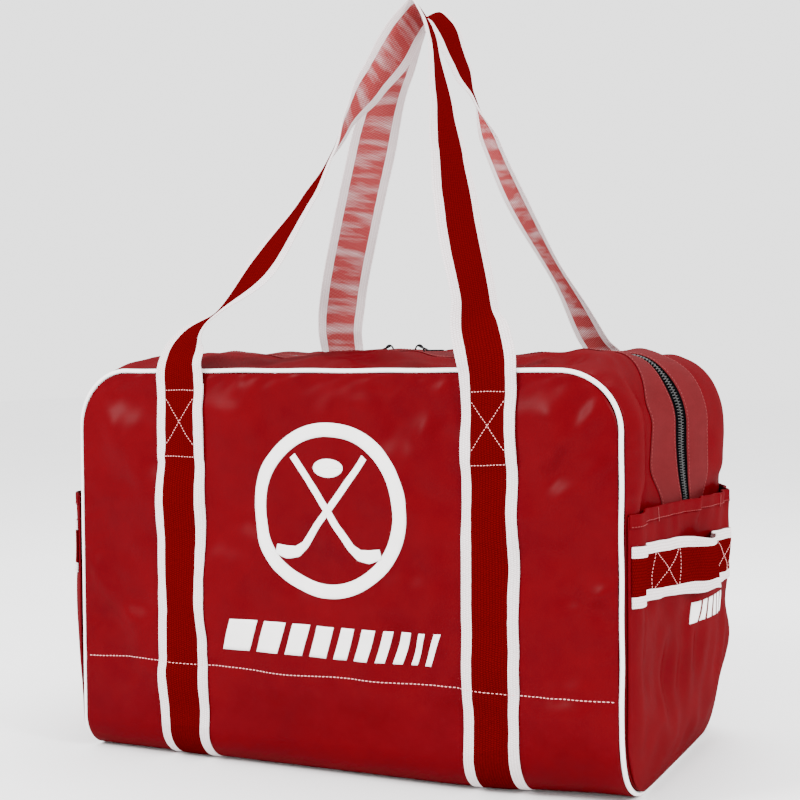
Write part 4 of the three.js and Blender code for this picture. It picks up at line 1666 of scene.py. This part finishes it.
@dataclass
class FrontPrint:
    """Ink on the front: a ring round crossed sticks and a puck, over a row of slanted bars."""

    cloth: Surfaces
    finishes: Finishes
    centre: float = 0.300
    outer: float = 0.0975
    stroke: float = 0.0155
    bar_heights: tuple[float, float] = (0.136, 0.172)
    puck_half: tuple[float, float] = (0.0190, 0.0105)
    puck_rise: float = 0.047

    def build(self) -> None:
        """Builds the prints."""
        self.ring()
        self.sticks()
        widths = [0.034, 0.028, 0.022, 0.022, 0.016, 0.016, 0.011, 0.011, 0.007, 0.007]
        bars = bar_row(-0.137, widths, 0.0095)
        print_bars(
            "front_bar_print", self.cloth.on_front, bars, self.bar_heights, 0.012,
            self.finishes.ink,
        )

    def ring(self) -> None:
        """Ring: a flat band between two circles."""
        angle = np.linspace(0, 2 * np.pi, 160, endpoint=False)[:, None]
        radius = np.linspace(self.outer - self.stroke, self.outer, 5)[None, :]
        x, z = radius * np.sin(angle), self.centre + radius * np.cos(angle)
        top = self.cloth.on_front(x, z, INK_TOP)
        under = self.cloth.on_front(x, z, INK_FOOT)
        rings = np.concatenate([top, under[:, ::-1]], axis=1)
        piece = make_sweep("front_ring_print", rings, [self.finishes.ink], loop=True)
        settle(piece, "bag", "print")

    def sticks(self) -> None:
        """Two crossed sticks, and an oval puck between them."""
        angle = np.linspace(0, 2 * np.pi, 28)[:, None]
        radius = np.linspace(0.0005, 1, 7)[None, :]
        x = self.puck_half[0] * radius * np.cos(angle)
        z = self.centre + self.puck_rise + self.puck_half[1] * radius * np.sin(angle)
        puck = ink_slab(self.cloth.on_front, x, z)
        slabs = [self.stick(-1, 0.0), self.stick(1, 0.00015), puck]
        print_slabs("front_stick_print", slabs, self.finishes.ink)

    def stick(self, sign: int, lift: float) -> tuple[Array, Array]:
        """One stick: a line of changing width, whose shaft turns into a blade.

        Args:
            sign: 1 for the blade at the right, -1 for the left.
            lift: extra height of the ink.

        Returns:
            Vertices and quads.
        """
        stops = np.array(  # place, height, 0, width
            [[-0.046, 0.060, 0, 0.0080], [0.012, -0.016, 0, 0.0080], [0.030, -0.040, 0, 0.0090],
             [0.040, -0.0475, 0, 0.0125], [0.052, -0.0485, 0, 0.0150], [0.066, -0.0450, 0, 0.0110]]
        )
        line = even(stops * np.array([sign, 1.0, 1.0, 1.0]), 0.002)
        step = tangents(line[:, :2])
        aside = np.stack([-step[:, 1], step[:, 0]], axis=1)
        across = line[:, 3, None] * np.linspace(-0.5, 0.5, 7)[None, :]
        flat = line[:, None, :2] + aside[:, None, :] * across[..., None]
        return ink_slab(self.cloth.on_front, flat[..., 0], self.centre + flat[..., 1], lift)


HANDLE_OUTLINES = {  # seen from the front, in mm: from the left foot to the right one
    Face.FRONT: [
        (-190.6, 447), (-190, 463), (-183, 492), (-150, 524), (-113, 565), (-84, 613), (-59, 660),
        (-39, 710), (-25, 756), (-5, 793), (15, 829), (30, 860), (42, 875), (53, 861), (67, 829),
        (84, 780), (101, 724), (119, 665), (140, 600), (162, 541), (179, 492), (189.5, 463),
        (190.6, 447),
    ],
    Face.REAR: [
        (-190.6, 447), (-190, 465), (-186, 505), (-172, 548), (-135, 635), (-97, 717), (-60, 792),
        (-35, 830), (-9, 862), (12, 881), (27, 887), (39, 874), (49, 842), (64, 790), (80, 727),
        (100, 666), (127, 603), (157, 540), (175, 495), (189, 463), (190.6, 447),
    ],
}
HANDLE_TWISTS = {  # left leg and right leg: share of the leg from its foot, degrees
    Face.FRONT: (
        ((0, 0), (0.05, 8), (0.165, 50), (0.32, 20), (0.50, 38), (0.60, 52), (0.70, 67),
         (0.80, 88), (0.90, 102), (1, 90)),
        ((0, 0), (0.10, 22), (0.18, 56), (0.31, 52), (0.45, 56), (0.58, 67), (0.72, 82),
         (0.88, 96), (1, 90)),
    ),
    Face.REAR: (
        ((0, 0), (0.10, 8), (0.25, 28), (0.60, 34), (0.80, 58), (1, 90)),
        ((0, 0), (0.08, 32), (0.30, 47), (0.50, 40), (0.66, 45), (0.78, 69), (0.85, 88),
         (0.95, 96), (1, 90)),
    ),
}


def spline(places: Array, count: int) -> Array:
    """Smooth curve through places: cubic Hermite pieces on chord length, spaced evenly.

    Args:
        places: (n, 3) points.
        count: how many points the curve gets.

    Returns:
        (count, 3) points the same length apart.
    """
    chord = np.linalg.norm(np.diff(places, axis=0), axis=1)
    run = np.concatenate([[0], np.cumsum(chord)])
    slope = np.gradient(places, run, axis=0)
    dense = np.linspace(0, run[-1], 4000)
    k = np.clip(np.searchsorted(run, dense) - 1, 0, len(run) - 2)
    h = (run[k + 1] - run[k])[:, None]
    t = (dense - run[k])[:, None] / h
    curve = (
        places[k] * (2 * t**3 - 3 * t**2 + 1)
        + slope[k] * h * (t**3 - 2 * t**2 + t)
        + places[k + 1] * (3 * t**2 - 2 * t**3)
        + slope[k + 1] * h * (t**3 - t**2)
    )
    length = np.concatenate([[0], np.cumsum(np.linalg.norm(np.diff(curve, axis=0), axis=1))])
    wanted = np.linspace(0, length[-1], count)
    return np.stack([np.interp(wanted, length, curve[:, c]) for c in range(3)], axis=-1)


@dataclass
class CarryWebbing:
    """One length of webbing: up a band on the bag, round a carry handle and down the other band."""

    cloth: Surfaces
    finishes: Finishes
    face: Face
    place: ClassVar[float] = 0.1906
    over: ClassVar[float] = 0.0019
    half: float = 0.03175
    thickness: float = 0.0018
    layer_thickness: float = 0.0016
    sewn_from: float = 0.355
    leaves: float = 0.436
    bend_from: float = 0.4375
    bend_to: float = 0.4560
    box_heights: tuple[float, ...] = (0.4325, 0.4225, 0.3700, 0.3555)
    stand_off: float = 0.0045
    cup: float = 0.0016
    gap: float = 0.012
    lean_from: float = 0.464
    apex: float = 0.892
    apex_place: float = 0.0315
    step: float = 0.006

    def build(self) -> None:
        """Builds the webbing, the layer under its sewn feet, and the crossed boxes."""
        name = self.face.name.lower()
        profile = tape_profile(-self.half, self.half, 0.0, self.thickness)
        left, left_along = self.on_bag(-1, profile)
        right, right_along = self.on_bag(1, profile)
        loop, loop_along = self.handle(profile)
        rings = np.concatenate([left, loop, right[::-1]])
        rise = left_along[-1] + self.gap
        fall = rise + loop_along[-1] + self.gap + right_along[-1]
        along = np.concatenate([left_along, rise + loop_along, fall - right_along[::-1]])
        uv = np.stack(np.broadcast_arrays(profile[None, :, 0], along[:, None]), axis=-1)
        piece = make_sweep(
            name + "_carry_webbing", rings, [self.finishes.web_face, self.finishes.web_back],
            uv, inner_edges(),
        )
        start, end = ((0, self.face.value * 0.21, z) for z in (self.bend_from, self.bend_to))
        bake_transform(piece)
        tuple(start)
        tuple(end)
        nodes = [name + "_handle", name + "_handle_foot_left", name + "_handle_foot_right"]
        nodes.append("left_band" if self.face is Face.FRONT else "right_band")
        stand_for(piece, "webbing", *nodes)
        self.under_layer()
        self.boxes()

    def height(self, t: Array, side: int) -> Array:
        """Height of the webbing's underside over the vinyl: it rises over the layer below it."""
        _, z = self.cloth.shape.wrap(t, side * self.place)
        sink = 0.0012 * smooth(z, 0.03, 0.0)
        return 0.0004 - sink + 0.0017 * smooth(z, self.sewn_from - 0.006, self.sewn_from + 0.002)

    def on_band(self, side: int) -> Place:
        """Surface of a band's underside, by length round the wrap and place across it."""

        def place(t: Array, w: Array, above: Array | float) -> Array:
            """Point over the band."""
            x = side * (self.place - w)
            return self.cloth.on_wrap(t, x, above + self.height(t, side))

        return place

    def on_bag(self, side: int, profile: Array) -> tuple[Array, Array]:
        """Rings of the part that is sewn on the bag, from under the base to the fold.

        Args:
            side: -1 for the left band and 1 for the right one.
            profile: the webbing's profile.

        Returns:
            Rings, and length along the webbing.
        """
        top = float(self.cloth.shape.turn_length(self.leaves, side * self.place))
        t = np.linspace(0.0002, top, round(top / self.step))
        rings, _ = strip_rings(self.on_band(side), self.face.value * t, profile)
        return rings, t

    def handle(self, profile: Array) -> tuple[Array, Array]:
        """Rings of the free handle: its path leans to the middle and it turns about its own line.

        Args:
            profile: the webbing's profile.

        Returns:
            Rings from the left foot to the right one, and length along the webbing.
        """
        leg = self.cloth.shape.half_depth + self.stand_off
        outline = np.array(HANDLE_OUTLINES[self.face]) * 0.001
        rise = self.apex - self.lean_from
        lean = np.clip(outline[:, 1] - self.lean_from, 0, None) / rise
        y = leg - (leg - self.apex_place) * lean
        path = spline(np.stack([outline[:, 0], -y, outline[:, 1]], axis=-1), 240)
        tangent = tangents(path)
        share = np.linspace(0, 1, len(path))
        top = share[np.argmax(path[:, 2])]
        leg_share = np.where(share < top, share / top, (1 - share) / (1 - top))
        left, right = HANDLE_TWISTS[self.face]
        turn = np.radians(
            np.where(share < top, self.twist(left, leg_share), self.twist(right, leg_share))
        )
        slope = np.arctan((leg - self.apex_place) / rise)
        plane = np.array([0.0, -np.cos(slope), np.sin(slope)])
        outward = np.cross(plane, tangent)
        normal = np.cos(turn)[:, None] * plane + np.sin(turn)[:, None] * outward
        normal = unit(normal - tangent * np.einsum("ij,ij->i", normal, tangent)[:, None])
        across = np.cross(tangent, normal)
        sign = -1.0 if across[0, 0] < 0 else 1.0
        cup = self.cup * smooth(leg_share, 0.05, 0.3)
        lift = profile[:, 1] - self.thickness / 2
        bow = cup[:, None] * (1 - (profile[:, 0] / self.half) ** 2)[None, :]
        rings = (
            path[:, None, :]
            + sign * across[:, None, :] * profile[None, :, 0, None]
            + normal[:, None, :] * (lift[None, :] + bow)[..., None]
        )
        rings = rings * np.array([1.0, -self.face.value, 1.0])
        length = np.linalg.norm(np.diff(path, axis=0), axis=1)
        return rings, np.concatenate([[0], np.cumsum(length)])

    def twist(self, stops: tuple[tuple[float, float], ...], share: Array) -> Array:
        """Turn of a leg about its own line, eased from stop to stop.

        Args:
            stops: (share of the leg from its foot, degrees).
            share: shares of the leg.

        Returns:
            Degrees.
        """
        places, turns = np.array(stops).T
        k = np.clip(np.searchsorted(places, share) - 1, 0, len(places) - 2)
        t = np.clip((share - places[k]) / (places[k + 1] - places[k]), 0, 1)
        return turns[k] + (turns[k + 1] - turns[k]) * t * t * (3 - 2 * t)

    def under_layer(self) -> None:
        """Second layer of webbing under each sewn foot."""
        name = self.face.name.lower()
        shape = self.cloth.shape
        for side, word in ((-1, "left"), (1, "right")):
            low, high = (
                float(shape.turn_length(z, side * self.place))
                for z in (self.sewn_from, self.leaves + 0.004)
            )
            t = np.linspace(low, high, 18)
            half = self.half - 0.0006
            profile = tape_profile(-half, half, 0.0002, self.layer_thickness)

            def place(along: Array, across: Array, above: Array, side: int = side) -> Array:
                """Point over the vinyl under the foot."""
                return self.cloth.on_wrap(along, side * self.place + across, above)

            rings, uv = strip_rings(place, self.face.value * t, profile)
            piece = make_sweep(f"{name}_{word}_foot_layer", rings, [self.finishes.web_face], uv)
            settle(piece, "bag", "webbing")

    def boxes(self) -> None:
        """Crossed boxes of stitches on the two feet."""
        name = self.face.name.lower()
        for side, word in ((-1, "left"), (1, "right")):
            row, top, middle, foot = (
                self.face.value * float(self.cloth.shape.turn_length(z, side * self.place))
                for z in self.box_heights
            )
            lines = [
                straight(row, -0.0195, row, 0.0195),
                straight(foot, -0.0195, foot, 0.0195),
                straight(top, -0.0190, middle, 0.0190),
                straight(top, 0.0190, middle, -0.0190),
            ]
            stitches = Seam(pitch=0.0036, length=0.0024, radius=0.00038).sewn(
                f"{name}_{word}_foot_stitches", self.on_band(side), lines,
                self.thickness + 0.0001, self.finishes.thread,
            )
            settle(stitches, "bag", "thread")


@dataclass
class ZipSlider:
    """Slider and pull tab at one half of the zip."""

    finishes: Finishes
    end: End
    place: float = 0.014
    base: float = 0.4712
    pin: float = 0.4815
    tab_height: float = 0.4763
    slope: float = 0.38

    def build(self) -> None:
        """Builds the slider's body and bridge, and the pull's wire loop and tab."""
        side = self.end.name.lower()
        body = self.block(
            [-0.0115, -0.0100, -0.0040, 0.0040, 0.0100, 0.0115],
            [0.0030, 0.0046, 0.0050, 0.0062, 0.0066, 0.0050],
            [0.0016, 0.0024, 0.0028, 0.0028, 0.0024, 0.0016],
        )
        self.add(side + "_slider_body", body, self.base + 0.0004, "slider_", "_slider")
        arc = np.linspace(0, np.pi, 15)
        path = np.stack(
            [0.0062 + 0.0065 * np.cos(arc), 0 * arc, 0.0010 + 0.0108 * np.sin(arc)], axis=-1
        )
        self.add(side + "_slider_bridge", wire(path, 0.0011, 8), self.base, "slider_")
        turn = np.linspace(0, 2 * np.pi, 41)[:-1]
        out = 0.0062 * (1 + np.cos(turn))
        loop = np.stack([0.0053 + out, 0.0036 * np.sin(turn), -self.slope * out], axis=-1)
        self.add(side + "_pull_loop", wire(loop, 0.0007, 8, True), self.pin, "pull_", loop=True)
        tab = self.block(
            [0.0155, 0.0165, 0.0190, 0.0300, 0.0365, 0.0382],
            [0.0022, 0.0030, 0.0036, 0.0045, 0.0042, 0.0026],
            [0.0007, 0.0010, 0.0010, 0.0010, 0.0010, 0.0006],
        )
        self.add(side + "_pull_tab", tab, self.tab_height, "pull_", "_pull")

    def block(self, along: list[float], half: list[float], thick: list[float]) -> Array:
        """Rings of a rounded block: at each station an oval |y/a|^3 + |z/b|^3 = 1.

        Args:
            along: stations.
            half: half width at each station.
            thick: half height at each station.

        Returns:
            Rings.
        """
        fine = np.linspace(along[0], along[-1], 25)
        a, b = np.interp(fine, along, half), np.interp(fine, along, thick)
        turn = np.linspace(0, 2 * np.pi, 20, endpoint=False)
        y = np.sign(np.cos(turn)) * np.abs(np.cos(turn)) ** (2 / 3)
        z = np.sign(np.sin(turn)) * np.abs(np.sin(turn)) ** (2 / 3)
        x = np.broadcast_to(fine[:, None], (25, 20))
        return np.stack([x, a[:, None] * y[None, :], b[:, None] * z[None, :]], axis=-1)

    def add(
        self, name: str, rings: Array, height: float, body: str, node: str = "", loop: bool = False
    ) -> None:
        """Makes a piece of the slider.

        Args:
            name: name of the piece.
            rings: its rings round a place on the zip's middle.
            height: height of that place.
            body: start of the body's name.
            node: end of the name of the node it stands for.
            loop: True if the rings form a loop.
        """
        side = self.end.name.lower()
        sign = self.end.value
        moved = rings * np.array([sign, 1.0, 1.0]) + np.array([sign * self.place, 0.0, height])
        piece = make_sweep(name, moved, [self.finishes.metal], loop=loop)
        settle(piece, body + side, "metal", *([side + node] if node else []))


def wire(path: Array, radius: float, sides: int, loop: bool = False) -> Array:
    """Rings of a round wire along a path in or near one plane through y or z.

    Args:
        path: (n, 3) points.
        radius: radius of the wire.
        sides: points round it.
        loop: True if the path is closed.

    Returns:
        (n, sides, 3) rings.
    """
    tangent = tangents(path, loop)
    reference = [0.0, 0.0, 1.0] if np.ptp(path[:, 1]) > np.ptp(path[:, 2]) else [0.0, 1.0, 0.0]
    side = unit(np.cross(tangent, reference))
    return tube(path, side, np.cross(side, tangent), radius, sides)


# ---------------------------------------------------------------- studio


@dataclass(frozen=True)
class Studio:
    """Pale floor, soft light and the camera."""

    azimuth: float = 24.646
    distance: float = 1.8434
    aside: float = -0.0059
    height: float = 0.4769
    pitch: float = 1.907
    roll: float = -0.446
    sensor: float = 36.0
    focal_share: float = 1.8765
    surroundings: float = 2.4

    def build(self) -> None:
        """Builds the floor, the lights and the camera."""
        self.camera()
        self.floor()
        self.lights()

    def camera(self) -> None:
        """Camera on a circle round the bag, tipped down a little and rolled a little."""
        turn, tip, roll = (np.radians(v) for v in (self.azimuth, self.pitch, self.roll))
        right = Vector((np.cos(turn), np.sin(turn), 0.0))
        ahead = Vector((-np.sin(turn) * np.cos(tip), np.cos(turn) * np.cos(tip), -np.sin(tip)))
        up = right.cross(ahead)
        level, tilt = np.cos(roll), np.sin(roll)
        x = right * level + up * tilt
        y = up * level - right * tilt
        place = Vector(
            (
                self.aside * np.cos(turn) + np.sin(turn) * self.distance,
                self.aside * np.sin(turn) - np.cos(turn) * self.distance,
                self.height,
            )
        )
        data = bpy.data.cameras.new("camera")
        data.sensor_width = self.sensor
        data.lens = self.sensor * self.focal_share
        camera = bpy.data.objects.new("camera", data)
        axes = Matrix((x, y, -ahead)).transposed().to_4x4()
        camera.matrix_world = Matrix.Translation(place) @ axes
        bpy.context.scene.collection.objects.link(camera)
        bpy.context.scene.camera = camera

    def floor(self) -> None:
        """Wide pale flat floor."""
        half, depth = 9.0, 12.0
        u = np.linspace(-half, half, 9)
        v = np.linspace(-depth, depth, 49)
        x, y = np.meshgrid(u, v, indexing="ij")
        points = np.stack([x, y, np.zeros(x.shape) - 0.0004], axis=-1).reshape(-1, 3)
        mesh = bpy.data.meshes.new("floor")
        mesh.from_pydata(points.tolist(), [], grid_quads(9, 49).tolist())
        n = Nodes("floor_paper")
        grain = n.noise(n.object_place(), 3.0, 2.0)
        n.set(
            Base_Color=n.blend(grain, linear(247, 247, 248), linear(252, 252, 252)),
            Roughness=0.9, Specular_IOR_Level=0.1,
        )
        mesh.materials.append(n.material)
        floor = bpy.data.objects.new("floor", mesh)
        bpy.context.scene.collection.objects.link(floor)

    def lights(self) -> None:
        """White surroundings, a key from the left front, and smaller lights beside and above."""
        world = bpy.data.worlds.new("studio")
        world.use_nodes = True
        background = world.node_tree.nodes["Background"]
        background.inputs[0].default_value = (1.0, 1.0, 1.0, 1.0)
        background.inputs[1].default_value = self.surroundings
        bpy.context.scene.world = world
        self.area("key", (-1.7, -2.3, 2.1), 0.8, 150.0)
        self.area("side", (2.6, -1.0, 1.5), 0.6, 75.0)
        self.area("top", (0.3, 0.8, 2.6), 1.4, 50.0)

    def area(self, name: str, place: tuple[float, float, float], size: float, power: float) -> None:
        """Square area light that looks at the middle of the bag."""
        data = bpy.data.lights.new(name, "AREA")
        data.size = size
        data.energy = power
        light = bpy.data.objects.new(name, data)
        light.location = place
        toward = Vector((0.0, 0.0, 0.3)) - Vector(place)
        light.rotation_euler = toward.to_track_quat("-Z", "Y").to_euler()
        bpy.context.scene.collection.objects.link(light)


def main() -> None:
    """Builds the studio and then the bag, one sub-assembly at a time."""
    logging.basicConfig(level=logging.INFO, format="%(name)s: %(message)s")
    Studio().build()
    finishes = Finishes()
    cloth = Surfaces(BagShape())
    Shell(cloth, finishes).build()
    ZipGusset(cloth, finishes).build()
    SeamPiping(cloth, finishes).build()
    for end in End:
        EndPocket(cloth, finishes, end).build()
        ZipSlider(finishes, end).build()
    for face in Face:
        CarryWebbing(cloth, finishes, face).build()
    FrontPrint(cloth, finishes).build()


if __name__ == "__main__":
    main()
